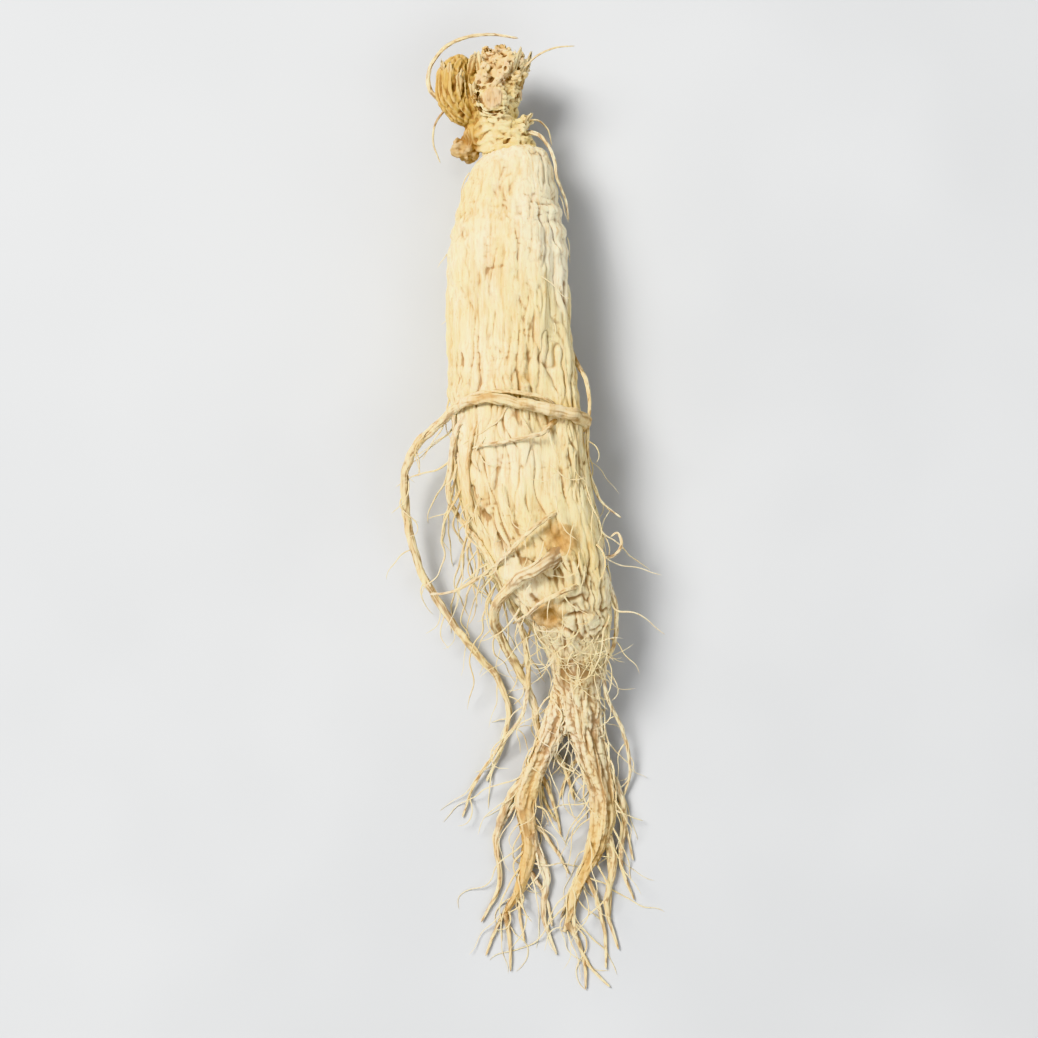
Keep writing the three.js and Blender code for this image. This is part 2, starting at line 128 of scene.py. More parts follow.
def hashed(*corner_and_seed):
    """A fixed whole number for each corner of a grid of cells."""
    h = 0
    for value, prime in zip(corner_and_seed, PRIMES):
        h = h ^ (value * prime)
    h = h & WORD
    for _ in range(2):
        h = (((h >> 16) ^ h) * MIXER) & WORD
    return (h >> 16) ^ h


def noise(points, cell, seed):
    """Smooth noise, about -1 to 1. A cell is one size, or one for each axis."""
    p = points / np.asarray(cell, float)
    base = np.floor(p).astype(np.int64)
    f = p - base
    fade = f * f * f * (f * (f * 6 - 15) + 10)
    total = np.zeros(p.shape[:-1])
    for corner in np.ndindex(2, 2, 2):
        h = hashed(*np.moveaxis(base + corner, -1, 0), seed)
        toward = f - corner
        slope = sum(((h >> (10 * k) & 1023) / 511.5 - 1) * toward[..., k] for k in range(3))
        weight = np.prod(np.where(corner, fade, 1 - fade), axis=-1)
        total += weight * slope
    return NOISE_GAIN * total


def creases(points, cell, width, seed):
    """1 along winding lines, 0 between them."""
    return np.exp(-(np.abs(noise(points, cell, seed)) / width) ** CREASE_FLOOR)


def in_patches(points, cell, edge, seed):
    """1 in patches, 0 between them. The edge is the noise at which one starts and is full."""
    return smooth(noise(points, cell, seed), *edge)


def even_creases(points, cell, width, seed):
    """Creases that are about as wide where the noise runs flat as elsewhere. Width is in cells."""
    value = noise(points, cell, seed)
    across = noise(points + [SLOPE_STEP * cell[0], 0, 0], cell, seed) - value
    up = noise(points + [0, 0, SLOPE_STEP * cell[2]], cell, seed) - value
    steep = np.maximum(np.hypot(across, up) / SLOPE_STEP, LEAST_SLOPE)
    return np.exp(-(np.abs(value) / (steep * width)) ** CREASE_FLOOR)


# The body's form

def along(y, column):
    """A column of the stations at y, on the smooth curve through them."""
    ys, values = STATIONS[:, 0], STATIONS[:, column]
    slope = np.gradient(values, ys)
    slope[1:-1] = (values[2:] - values[:-2]) / (ys[2:] - ys[:-2])
    i = np.clip(np.searchsorted(-ys, -np.asarray(y, float), side="right") - 1, 0, len(ys) - 2)
    span = ys[i + 1] - ys[i]
    t = np.clip((y - ys[i]) / span, 0, 1)
    t2, t3 = t * t, t * t * t
    return (
        (2 * t3 - 3 * t2 + 1) * values[i]
        + (t3 - 2 * t2 + t) * span * slope[i]
        + (3 * t2 - 2 * t3) * values[i + 1]
        + (t3 - t2) * span * slope[i + 1]
    )


def furrow_depth(y, a):
    cut = 0
    for k in range(FURROWS):
        centre = (
            k * TAU / FURROWS
            + SCATTER_TURN * math.sin(SCATTER_PACE * k)
            + WANDER_TURN * np.sin(y / WANDER_PITCH + WANDER_PHASE * k)
        )
        wave = np.sin(y / STRENGTH_PITCH + STRENGTH_PHASE * k)
        cut = cut + (STRENGTH_MEAN + STRENGTH_SWING * wave) * bell(turn(centre, a) / FURROW_WIDTH)
    lower = smooth(-y, -SMOOTH_TOP, -SMOOTH_BOTTOM)
    return FURROW_DEPTH * cut * (SMOOTH_SHARE + (1 - SMOOTH_SHARE) * lower)


def ring_strength(y):
    return sum(strength * bell((y - centre) / spread) for centre, spread, strength in RING_BANDS)


def ring_depth(y, a):
    wobble = WOBBLE_WIDE * np.sin(2 * a + WOBBLE_PHASE) + WOBBLE_FINE * np.sin(3 * a + y / WOBBLE_PITCH)
    return RING_DEPTH * ring_strength(y) * np.sin(math.pi * (y + wobble) / RING_SPACING) ** 2


def freedom(a):
    return 1 - bell(turn(RESTING_ANGLE, a) / RESTING_WIDTH)


def form_radius(y, a):
    swelling = BULGE_DEPTH * np.sin(y / BULGE_PITCH + BULGE_SLANT * np.sin(a))
    for depth, count, pitch, phase in LOBES:
        swelling = swelling + depth * np.sin(count * a + y / pitch + phase)
    return along(y, 3) * (1 + swelling * freedom(a))


def around(y, a, radius):
    return stacked(along(y, 1) + radius * np.cos(a), y, along(y, 2) + FLATNESS * radius * np.sin(a))


# Curves and tubes

ROUTE_STEPS = 24  # between two points of a route
LEAST_SPAN = 1e-4
NO_TANGENT = (0.3, 0.1, 1.0)  # no curve starts out this way


def curve(route, count):
    """Points evenly spaced along the smooth centripetal curve through the route."""
    p = np.array([np.asarray(q, float) for q in route])
    p = np.vstack([2 * p[0] - p[1], p, 2 * p[-1] - p[-2]])
    t = np.linspace(0, 1, ROUTE_STEPS, endpoint=False)[:, None]
    fine = []
    for p0, p1, p2, p3 in zip(p, p[1:], p[2:], p[3:]):
        d0, d1, d2 = (
            max(np.linalg.norm(b - a) ** 0.5, LEAST_SPAN) for a, b in ((p0, p1), (p1, p2), (p2, p3))
        )
        m1 = ((p1 - p0) / d0 - (p2 - p0) / (d0 + d1) + (p2 - p1) / d1) * d1
        m2 = ((p2 - p1) / d1 - (p3 - p1) / (d1 + d2) + (p3 - p2) / d2) * d1
        fine.append(
            p1 + m1 * t + (3 * (p2 - p1) - 2 * m1 - m2) * t**2 + (2 * (p1 - p2) + m1 + m2) * t**3
        )
    fine = np.vstack([*fine, p[-2][None]])
    reach = np.concatenate([[0], np.cumsum(np.linalg.norm(np.diff(fine, axis=0), axis=1))])
    places = np.linspace(0, reach[-1], count)
    return np.stack([np.interp(places, reach, fine[:, k]) for k in range(3)], axis=1), reach[-1]


def frames(points):
    """Two directions across the curve at each point, turned along it without twist."""
    tangent = np.gradient(points, axis=0)
    tangent /= np.linalg.norm(tangent, axis=1, keepdims=True)
    side = np.cross(tangent[0], NO_TANGENT)
    sides = []
    for t in tangent:
        side = side - t * side.dot(t)
        side = side / np.linalg.norm(side)
        sides.append(side)
    sides = np.array(sides)
    return sides, np.cross(tangent, sides)


def through(values, share):
    return np.interp(share, np.linspace(0, 1, len(values)), values)


class Shape:
    """Tubes gathered into one mesh, with values kept at each point."""

    def __init__(self):
        self.points = []
        self.faces = []
        self.values = {}
        self.count = 0

    def tube(self, grid, **values):
        """Adds a closed tube: rows of rings, with a point at the middle of each end."""
        rows, cols = grid.shape[:2]
        ring = np.arange(rows * cols).reshape(rows, cols) + self.count
        right = np.roll(ring, -1, axis=1)
        quads = np.stack([ring[:-1], right[:-1], right[1:], ring[1:]], axis=-1).reshape(-1, 4)
        first, last = self.count + rows * cols, self.count + rows * cols + 1
        self.faces += quads.tolist()
        self.faces += [[first, b, a] for a, b in zip(ring[0].tolist(), right[0].tolist())]
        self.faces += [[last, a, b] for a, b in zip(ring[-1].tolist(), right[-1].tolist())]
        self.points += [grid.reshape(-1, 3), grid[0].mean(axis=0)[None], grid[-1].mean(axis=0)[None]]
        for name, value in values.items():
            value = np.broadcast_to(value, (rows, cols))
            ends = [value[0].mean(), value[-1].mean()]
            self.values.setdefault(name, []).append(np.concatenate([value.ravel(), ends]))
        self.count += rows * cols + 2

    def mesh(self, name, scale=MM):
        mesh = bpy.data.meshes.new(name)
        mesh.from_pydata(np.vstack(self.points) * scale, [], self.faces)
        for key, value in self.values.items():
            keep(mesh, key, np.concatenate(value))
        mesh.shade_smooth()
        return mesh


def keep(mesh, name, values):
    """Stores a value at each point of a mesh, for its material."""
    attribute = mesh.attributes.new(name, "FLOAT", "POINT")
    attribute.data.foreach_set("value", np.asarray(values, np.float32))


def place(mesh, material):
    """Makes the piece of a mesh that stands for the solid and moves with it."""
    piece = bpy.data.objects.new(mesh.name, mesh)
    bpy.context.scene.collection.objects.link(piece)
    mesh.materials.append(material)
    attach(piece, BODY)
    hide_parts(NODE)
    return piece


# Meshes

def read(mesh):
    """The points, the directions outward and the edges of a mesh."""
    points = np.empty(len(mesh.vertices) * 3, np.float32)
    normals = np.empty_like(points)
    edges = np.empty(len(mesh.edges) * 2, np.int32)
    mesh.vertices.foreach_get("co", points)
    mesh.vertices.foreach_get("normal", normals)
    mesh.edges.foreach_get("vertices", edges)
    return points.reshape(-1, 3).astype(float), normals.reshape(-1, 3).astype(float), edges.reshape(-1, 2)


def write(mesh, points):
    mesh.vertices.foreach_set("co", points.astype(np.float32).ravel())
    mesh.update()


def modified(mesh, kind, **settings):
    """The mesh that a modifier makes of this one."""
    piece = bpy.data.objects.new("rough", mesh)
    bpy.context.scene.collection.objects.link(piece)
    modifier = piece.modifiers.new(kind, kind)
    for key, value in settings.items():
        setattr(modifier, key, value)
    made = bpy.data.meshes.new_from_object(piece.evaluated_get(bpy.context.evaluated_depsgraph_get()))
    bpy.data.objects.remove(piece)
    return made


def fused(shape, voxel):
    """One closed skin round all the tubes of a shape, still in millimetres."""
    return modified(shape.mesh("rough", 1), "REMESH", mode="VOXEL", voxel_size=voxel)


def finished(mesh, name, values):
    """The mesh with its values, cut down to at most MOST_TRIANGLES triangles, and in metres."""
    for key, value in values.items():
        keep(mesh, key, value)
    triangles = sum(len(face.vertices) - 2 for face in mesh.polygons)
    if triangles > MOST_TRIANGLES:
        mesh = modified(mesh, "DECIMATE", ratio=MOST_TRIANGLES / triangles)
    points, _, _ = read(mesh)
    write(mesh, points * MM)
    mesh.name = name
    mesh.shade_smooth()
    return mesh


def relaxed(points, edges, rounds, share=0.5):
    """The points drawn towards their neighbours."""
    one, two = edges.T
    count = len(points)
    degree = np.maximum(np.bincount(one, minlength=count) + np.bincount(two, minlength=count), 1)
    share = np.broadcast_to(np.asarray(share, float), (count,))
    for _ in range(rounds):
        near = np.stack([
            np.bincount(one, points[two, k], count) + np.bincount(two, points[one, k], count)
            for k in range(3)
        ], axis=1)
        points = points + share[:, None] * (near / degree[:, None] - points)
    return points


def hollow(mesh, rounds):
    """How far each point lies below its surroundings, in millimetres."""
    points, normals, edges = read(mesh)
    return np.sum((relaxed(points, edges, rounds) - points) * normals, axis=1)


# The body

WRINKLE_LAYERS = [
    # cell across, cell along, width of a crease in cells, depth, share in the colour
    (3.6, 22.0, 0.1, 0.55, 0.45),
    (1.8, 10.0, 0.12, 0.34, 0.5),
    (0.95, 4.5, 0.15, 0.18, 0.4),
]
WARPS = [((7, 12, 7), 1.3), ((2.6, 5, 2.6), 0.45)]
BENT, SLANTED, LEG_BENT = [1, 0.3, 1], [0.6, 1.1, 0.6], 0.4  # how far the kinds of creases are warped
SHOULDER_SHARE, LOWER_SHARE, LOWER_SPAN = 0.55, 0.45, (-34, 6)  # wrinkles are deeper lower down
PATCH_CELL, PATCH_EDGE = (7, 11, 7), (-0.6, 0.3)  # each kind of wrinkle keeps to patches of the skin
CROSS_CELL, CROSS_WIDTH, CROSS_DEPTH = (5.0, 1.7, 5.0), 0.12, 0.16
CROSS_PATCH_CELL, CROSS_PATCH_EDGE = (5, 6, 5), (0.0, 0.5)
FINE_RING_SPACING, FINE_RING_DEPTH, FINE_RING_POWER = 1.5, 0.15, 3
FINE_RING_DRIFT, FINE_RING_RIPPLE, FINE_RING_PATCH_EDGE = 1.3, 0.4, (-0.2, 0.5)
CROSS_COLOUR, LEG_COLOUR = 0.3, 0.35  # shares in the colour
THIN_SHARE, THIN_LEG_RADIUS = 0.3, 2.5
RINGED_PATCHES = [(8.5, 37.0, 5.0, 6.0), (-4.0, 4.0, 4.0, 4.0)]  # x, y, half width, half height
SWELLING_CELL, SWELLING = (4.5, 7.0, 4.5), 0.4
DIMPLE_CELL, DIMPLE = (2.0, 2.6, 2.0), 0.16
LEG_LAYERS = [((1.5, 10.0, 1.5), 0.18, 0.42), ((0.8, 5.0, 0.8), 0.2, 0.17), ((2.4, 1.0, 2.4), 0.12, 0.12)]
LEG_GIRTH = (5.6, 3.6)  # the half widths over which the body's wrinkles give way to a leg's

# Scars of broken side roots: x, y, radius, height of the rim, depth of the pit, how stained.
BROKEN = [
    (7.8, -22.4, 2.9, 0.3, 0.3, 1.0), (5.7, -35.6, 2.5, 0.4, 0.45, 0.95), (1.6, 5.6, 1.7, 0.2, 0.16, 0.35),
]
RAGGED = [(1.6, 0.22), (0.7, 0.12)]  # cell and amount
# Places and widths on a scar are shares of its radius.
RIM_PLACE, RIM_WIDTH, PIT_WIDTH, SCAR_STAIN = 0.75, 0.28, 0.5, 0.8
STAIN_RINGS = [(0.42, 0.14, 0.3), (0.85, 0.16, 0.2)]  # place, width, amount
# Single creases and slits, each from one point to another: x, y, x, y, width, depth.
MARKS = [
    (-9.6, 10.8, -9.4, 7.4, 0.35, 0.55), (7.2, 22.8, 11.2, 12.4, 0.3, 0.4),
    (-6.4, -17.2, -4.6, -19.4, 0.6, 0.6), (7.6, -33.6, 12.4, -32.0, 0.4, 0.6),
    (8.2, -35.6, 13.6, -35.4, 0.4, 0.6), (7.4, -37.6, 11.8, -40.0, 0.4, 0.6),
    (4.2, -33.6, 2.2, -31.6, 0.4, 0.5), (-2.2, 40.5, -2.6, 33.5, 0.3, 0.25),
    (-5.4, 24.6, -1.8, 25.2, 0.3, 0.2),
]
MARK_CELL, MARK_RAGGED = 1.4, 0.25
MARK_END, MARK_LEAST = 0.25, 0.3  # a mark is shallow over this share at each end, and so deep there
# Patches of the skin that are paler, above 0, or yellower: x, y, half width, half height, amount. The last is
# painted light: paler over the lower body, where the skin slopes away from the key lamp.
TONES_AND_LIGHT = [
    (5.0, 37.0, 5.0, 10.0, 1.0), (-2.6, 36.0, 1.7, 9.0, -0.9), (5.4, 21.0, 2.2, 3.4, -0.6),
    (-5.0, 8.0, 4.5, 5.0, 0.6), (0.0, -8.0, 6.0, 6.0, 0.7), (10.5, -40.0, 4.5, 3.0, 0.7),
    (8.6, 0.5, 4.0, 2.0, -0.9), (11.0, -25.6, 2.4, 2.2, -0.9), (-1.0, 30.0, 12.0, 15.0, 0.4),
    (9.0, -37.0, 9.0, 9.0, 0.5),
]
SHADE_UNDER_FIBRES = [(11.2, -46.0, 4.6, 3.0, 0.6), (3.0, -40.5, 2.0, 2.4, 0.3)]  # painted shade on the skin under the fibres


def wrinkles(points, y, girth):
    """Depth of the fine wrinkles, and how dark they are."""
    warp = sum(
        amount * np.stack([noise(points, cell, 90 + k) for k in range(3)], axis=-1)
        for cell, amount in WARPS
    )
    bent = points + warp * BENT
    depth = 0
    dark = 0
    lower = SHOULDER_SHARE + LOWER_SHARE * smooth(-y, *LOWER_SPAN)
    for k, (across, length, width, deep, colour_share) in enumerate(WRINKLE_LAYERS):
        line = even_creases(bent, (across, length, across), width, 10 + k)
        line = line * in_patches(points, PATCH_CELL, PATCH_EDGE, 20 + k) * lower
        depth = depth + deep * line
        dark = dark + colour_share * line
    cross = creases(points + warp * SLANTED, CROSS_CELL, CROSS_WIDTH, 31)
    cross = cross * in_patches(points, CROSS_PATCH_CELL, CROSS_PATCH_EDGE, 32)
    depth = depth + CROSS_DEPTH * cross
    dark = dark + CROSS_COLOUR * cross
    drift = FINE_RING_DRIFT * noise(points, (5, 4, 5), 41)
    phase = y / FINE_RING_SPACING + drift + FINE_RING_RIPPLE * noise(points, 2, 43)
    ring = (0.5 + 0.5 * np.cos(TAU * phase)) ** FINE_RING_POWER
    ringed = in_patches(points, 4, FINE_RING_PATCH_EDGE, 42)
    for x0, y0, wide, tall in RINGED_PATCHES:
        ringed = np.maximum(ringed, bell((points[..., 0] - x0) / wide) * bell((y - y0) / tall))
    ring = ring * np.minimum(ring_strength(y), 1) * ringed
    depth = depth + FINE_RING_DEPTH * ring
    dark = dark + CROSS_COLOUR * ring
    depth = depth * np.minimum(1, girth / WRINKLED_RADIUS + THIN_SHARE)
    leg = smooth(-girth, *np.negative(LEG_GIRTH))
    for k, (cell, width, deep) in enumerate(LEG_LAYERS):
        line = creases(points + LEG_BENT * warp, cell, width, 35 + k) * leg
        depth = depth + deep * line * np.minimum(1, girth / THIN_LEG_RADIUS)
        dark = dark + LEG_COLOUR * line
    return depth, dark


def scar_relief(points, upper):
    """Height of the rims and pits of the broken side roots, and how stained the skin is."""
    height = 0
    stain = 0
    ragged = sum(amount * noise(points, cell, 51 + k) for k, (cell, amount) in enumerate(RAGGED))
    for x, y, radius, rim, pit, amount in BROKEN:
        away = np.hypot(points[..., 0] - x, points[..., 1] - y) / radius * (1 + ragged)
        rise = rim * bell((away - RIM_PLACE) / RIM_WIDTH) - pit * bell(away / PIT_WIDTH)
        height = height + rise * upper
        rings = sum(dark * bell((away - at) / width) for at, width, dark in STAIN_RINGS)
        stain = np.maximum(stain, amount * (SCAR_STAIN * bell(away) + rings) * upper)
    return height, stain


def marks(points, upper, lines):
    """Depth of the single creases."""
    depth = 0
    ragged = np.stack([MARK_RAGGED * noise(points, MARK_CELL, 53 + k) for k in range(2)], axis=-1)
    flat = points[..., :2] + ragged
    for x0, y0, x1, y1, width, deep in lines:
        start, way = np.array([x0, y0]), np.array([x1 - x0, y1 - y0])
        share = np.clip((flat - start) @ way / way.dot(way), 0, 1)
        away = np.linalg.norm(flat - start - share[..., None] * way, axis=-1)
        ends = smooth(share, 0, MARK_END) * smooth(1 - share, 0, MARK_END)
        depth = depth + deep * bell(away / width) * (MARK_LEAST + (1 - MARK_LEAST) * ends) * upper
    return depth


def patches_of(points, upper, patches):
    """The sum of soft patches on the upper side."""
    total = 0
    for x, y, wide, tall, amount in patches:
        near = bell((points[..., 0] - x) / wide) * bell((points[..., 1] - y) / tall)
        total = total + amount * near * upper
    return total


LEG_RIDGES = [(0.1, 4, 9, 1), (0.06, 7, -5, 0)]  # height, how many, pitch, phase
KNOT_HEIGHT, KNOT_PITCH, KNOT_SPREAD = 0.09, 3.1, 7.7
LEG_ROWS, LEG_SIDES, LEG_RIDGE_START = 120, 64, 7
FIRST_LEG_START, SECOND_LEG_START = (48, 60), (44, 50)  # how far down each leg takes over
LEG_SPLIT = (-0.2, 0.4)  # how much nearer to the second leg's axis the skin is, where it turns into it
STRAIGHT_X, STRAIGHT_Z = 2, 10  # where the wrinkles' pattern has the body's axis
FORK_Y, FORK_REACH, FORK_SHARE, FORK_ROUNDS, BODY_ROUNDS = -52, 9, 0.6, 40, 4
UPPER_SIDE = (0, 0.3)  # how far up the skin of the upper side faces
# Painted shade under the fibres: its cell, and the mean and swing of its strength.
UNDER_FIBRES_CELL, UNDER_FIBRES_MEAN, UNDER_FIBRES_SWING = 1.3, 0.7, 0.6
HOLLOW_ROUNDS = 30
# How much the wrinkle lines and slits darken the skin, partly their own brown and partly painted shade;
# painted shade in hollows; painted highlight on ridges.
LINE_DARKNESS, HOLLOW_SHADE, CUT_DARKNESS, RIDGE_HIGHLIGHT = 0.6, 1.5, 0.9, 3.0
TIP_SPAN = (50, 92)  # how far down the skin turns browner


def leg_relief(a, gone):
    """Ridges along a leg and knots across it, as a share of its radius."""
    ridges = 0
    for height, count, pitch, phase in LEG_RIDGES:
        ridges = ridges + height * np.sin(count * a + gone / pitch + phase)
    return ridges + KNOT_HEIGHT * np.sin(gone / KNOT_PITCH) * np.sin(gone / KNOT_SPREAD + 1)


def body_tube():
    y = np.arange(STATIONS[0, 0], STATIONS[-1, 0], -BODY_STEP)[:, None]
    a = full_turn(BODY_SIDES)
    form = form_radius(y, a) * (1 + leg_relief(a, -y) * smooth(-y, *FIRST_LEG_START))
    share = freedom(a) * np.minimum(1, along(y, 3) / WRINKLED_RADIUS)
    return around(y, a, form - (furrow_depth(y, a) + ring_depth(y, a)) * share)


def leg_tube(route, radii):
    """A leg with rounded ridges along it, and a blunt tip."""
    path, reach = curve(route, LEG_ROWS)
    share = np.linspace(0, 1, LEG_ROWS)
    a = full_turn(LEG_SIDES)
    radius = through(radii, share)[:, None] * (1 + leg_relief(a, share[:, None] * reach + LEG_RIDGE_START))
    return tube_points(path, radius, a, *frames(path))


def leg_axis(y):
    """The second leg's x, z and radius at y."""
    path, _ = curve(LEGS[1], LEG_ROWS)
    radius = through(SECOND_LEG_RADII, np.linspace(0, 1, LEG_ROWS))
    return [np.interp(-y, -path[:, 1], values) for values in (path[:, 0], path[:, 2], radius)]


def main_root():
    """The body and both legs in one skin, with all its wrinkles pressed into it."""
    shape = Shape()
    shape.tube(body_tube())
    shape.tube(leg_tube(LEGS[1], SECOND_LEG_RADII))
    mesh = fused(shape, BODY_VOXEL)
    points, _, edges = read(mesh)
    fork = bell((points[:, 1] - FORK_Y) / FORK_REACH)
    points = relaxed(points, edges, BODY_ROUNDS)
    points = relaxed(points, edges, FORK_ROUNDS, FORK_SHARE * fork)
    write(mesh, points)
    points, normals, _ = read(mesh)
    x, y, z = points.T
    leg_x, leg_z, leg_r = leg_axis(y)
    own = np.hypot(x - along(y, 1), z - along(y, 2)) / along(y, 3)
    other = np.hypot(x - leg_x, z - leg_z) / leg_r
    second = smooth(own - other, *LEG_SPLIT) * smooth(-y, *SECOND_LEG_START)
    girth = along(y, 3) * (1 - second) + leg_r * second
    straight = points.copy()
    straight[:, 0] -= (along(y, 1) - STRAIGHT_X) * (1 - second) + leg_x * second
    straight[:, 2] -= (along(y, 2) - STRAIGHT_Z) * (1 - second) + leg_z * second
    a = np.arctan2(z - along(y, 2), x - along(y, 1))
    free = np.maximum(freedom(a), second)
    depth, dark = wrinkles(straight, y, girth)
    share = free * np.minimum(1, girth / WRINKLED_RADIUS)
    swelling = SWELLING * noise(straight, SWELLING_CELL, 61) + DIMPLE * noise(straight, DIMPLE_CELL, 62)
    upper = smooth(normals[:, 2], *UPPER_SIDE)
    rise, stain = scar_relief(points, upper)
    cut = marks(points, upper, MARKS)
    tone = patches_of(points, upper, TONES_AND_LIGHT)
    shade_under_fibres = patches_of(points, upper, SHADE_UNDER_FIBRES) * (UNDER_FIBRES_MEAN + UNDER_FIBRES_SWING * noise(points, UNDER_FIBRES_CELL, 63))
    points += normals * (swelling * share - depth * free + rise - cut)[:, None]
    points[:, 2] = np.maximum(points[:, 2], 0)
    write(mesh, points)
    deep = hollow(mesh, HOLLOW_ROUNDS)
    # Painted shade in the hollows and under the fibres, and darker wrinkle lines and slits, partly their own
    # brown and partly painted shade.
    crease = LINE_DARKNESS * dark + HOLLOW_SHADE * np.maximum(deep, 0) + CUT_DARKNESS * cut + shade_under_fibres
    # Painted highlight: the skin paler where it stands above its surroundings.
    ridge = np.clip(-RIDGE_HIGHLIGHT * deep, 0, 1)
    values = {"crease": np.clip(crease, 0, 1), "ridge": ridge, "stain": stain, "tone": tone}
    return finished(mesh, "main_root", {**values, "tip": smooth(-y, *TIP_SPAN)})


# The side roots, as in the solid. A point is on the body, sunk in it, or free of it.

ARM_LIFT, THIN_LIFT, SUNK, HOOK_SUNK = 0.9, 0.42, -1.7, -2.6


def on(x, y, lift=THIN_LIFT):
    """The point above the body's upper form at x and y, lifted off it."""
    across = np.clip((x - along(y, 1)) / along(y, 3), -1, 1)
    a = math.acos(across)
    return around(y, a, form_radius(y, a) + lift)


def thick(x, y):
    return on(x, y, ARM_LIFT)


def under(x, y):
    return on(x, y, SUNK)


ARM = [
    (8.6, -3.4, 10.5), (12.0, -2.0, 13.4), thick(9.4, -0.8), thick(6.9, -0.2), thick(2.0, 1.0),
    thick(-3.0, 2.0), thick(-8.0, 1.6), (-11.6, -0.3, 15.6), (-14.8, -3.0, 12.6), (-17.8, -5.9, 10.4),
    (-19.6, -10.0, 8.6), (-19.9, -15.0, 7.2), (-19.1, -21.5, 5.8), (-17.2, -28.0, 4.6),
    (-14.5, -33.0, 3.8), (-11.2, -38.0, 3.2), (-7.3, -42.9, 2.6), (-3.6, -47.4, 2.0),
    (-1.4, -53.0, 1.4), (-2.6, -60.0, 0.9), (-5.4, -66.5, 0.5),
]
HOOK = [
    on(8.0, -24.8, HOOK_SUNK), thick(5.0, -26.6), thick(2.2, -28.2), (-1.0, -30.8, 17.2), (-3.2, -33.4, 15.2),
    (-3.9, -36.6, 12.4), (-2.4, -40.6, 9.6), (0.0, -45.2, 7.2), (3.0, -51.4, 4.8),
    (4.4, -58.0, 2.8), (8.6, -63.6, 1.4), (10.6, -70.0, 0.5),
]
ARM_BROWN = [0.9, 0.9, 0.35, 0.1, 0.05, 0.0, 0.1, 0.2]
# Each side root has its radii, how brown it is, both from base to tip, and its route.
SIDE_ROOTS = [
    ([1.35, 1.2, 0.98, 0.84, 0.82, 0.8, 0.76, 0.74, 0.68, 0.5, 0.25], ARM_BROWN, ARM),
    ([0.5, 0.4, 0.4, 0.36, 0.26], [0.9, 0.3, 0.2], [
        under(9.4, -1.2), on(5.0, 2.0), on(-1.0, 3.2), on(-6.4, 3.0), on(-9.8, 0.6), on(-10.4, -3.6),
    ]),
    ([0.55, 0.42, 0.36, 0.22], [0.9, 0.2, 0.1], [
        under(7.6, -1.6), on(4.3, -4.0), on(2.0, -4.6), on(-1.3, -5.3), on(-4.6, -5.8), on(-7.4, -6.5),
    ]),
    ([0.6, 0.5, 0.5, 0.5, 0.44, 0.36, 0.2], [0.0], [
        under(-8.6, 0.6), on(-10.0, -3.6), (-11.6, -9.9, 13.6), (-11.9, -14.9, 13.2),
        on(-9.4, -18.8, 0.8), on(-6.6, -22.4), on(-3.4, -27.3), (-1.6, -32.9, 14.0),
        (1.0, -38.8, 11.4), (2.2, -46.7, 8.0), (1.0, -54.0, 5.0), (-3.4, -60.4, 2.6),
        (-7.6, -67.0, 1.0), (-9.8, -73.0, 0.4),
    ]),
    ([0.5, 0.4, 0.36, 0.3], [0.5], [
        under(-6.8, 0.4), on(-7.8, -6.1), on(-8.3, -11.4), on(-7.6, -16.0), under(-8.4, -20.4),
    ]),
    ([0.5, 0.4, 0.36, 0.2], [0.2], [
        under(9.4, -17.0), on(4.3, -19.3), on(0.8, -22.6), on(-3.0, -26.7),
        (-6.9, -29.4, 13.6), (-11.4, -31.7, 12.0), (-15.4, -32.2, 9.4),
    ]),
    ([1.35, 1.15, 1.0, 0.9, 0.8, 0.7, 0.5, 0.25], [0.3, 0.1, 0.2], HOOK),
    ([0.5, 0.42, 0.36, 0.26], [0.2], [
        under(12.2, -30.2), on(8.6, -31.2), on(4.8, -33.2), on(2.6, -35.4), (-0.6, -37.4, 10.6),
    ]),
    ([0.5, 0.42, 0.4, 0.36, 0.2], [0.0], [
        under(14.2, -26.4), (16.8, -31.2, 11.8), (17.9, -37.0, 10.2), (17.3, -41.6, 8.8),
        (15.8, -45.0, 8.2), (16.2, -50.4, 6.4), (19.2, -57.0, 3.8), (20.6, -64.6, 1.6),
        (18.8, -71.0, 0.4),
    ]),
    ([0.5, 0.34, 0.3, 0.18], [0.0], [
        under(13.8, -24.8), (17.0, -25.4, 12.8), (18.6, -23.2, 13.6), (17.8, -21.2, 13.2),
        (16.6, -22.0, 12.8),
    ]),
    ([0.5, 0.32, 0.3, 0.18], [0.0], [
        (9.6, 10.6, 11.6), (12.2, 6.0, 13.0), (12.9, 2.0, 13.6), (12.6, -4.6, 13.4),
        (13.0, -10.6, 13.0), (15.0, -15.6, 12.2), (18.6, -18.6, 11.4),
    ]),
    ([0.5, 0.32, 0.3, 0.18], [0.0], [
        (0.2, 49.4, 11.8), (3.0, 49.3, 13.0), (5.1, 47.8, 13.4), (6.6, 45.0, 13.6),
        on(7.2, 41.4), on(8.6, 38.2), on(9.0, 34.0),
    ]),
    ([0.55, 0.36, 0.32, 0.2], [0.0], [
        (-11.6, 54.4, 10.6), (-15.2, 57.1, 11.6), (-15.4, 60.1, 12.4), (-13.6, 63.4, 13.0),
        (-9.9, 65.8, 13.4), (-4.1, 66.6, 13.4), (0.4, 66.0, 13.0),
    ]),
]

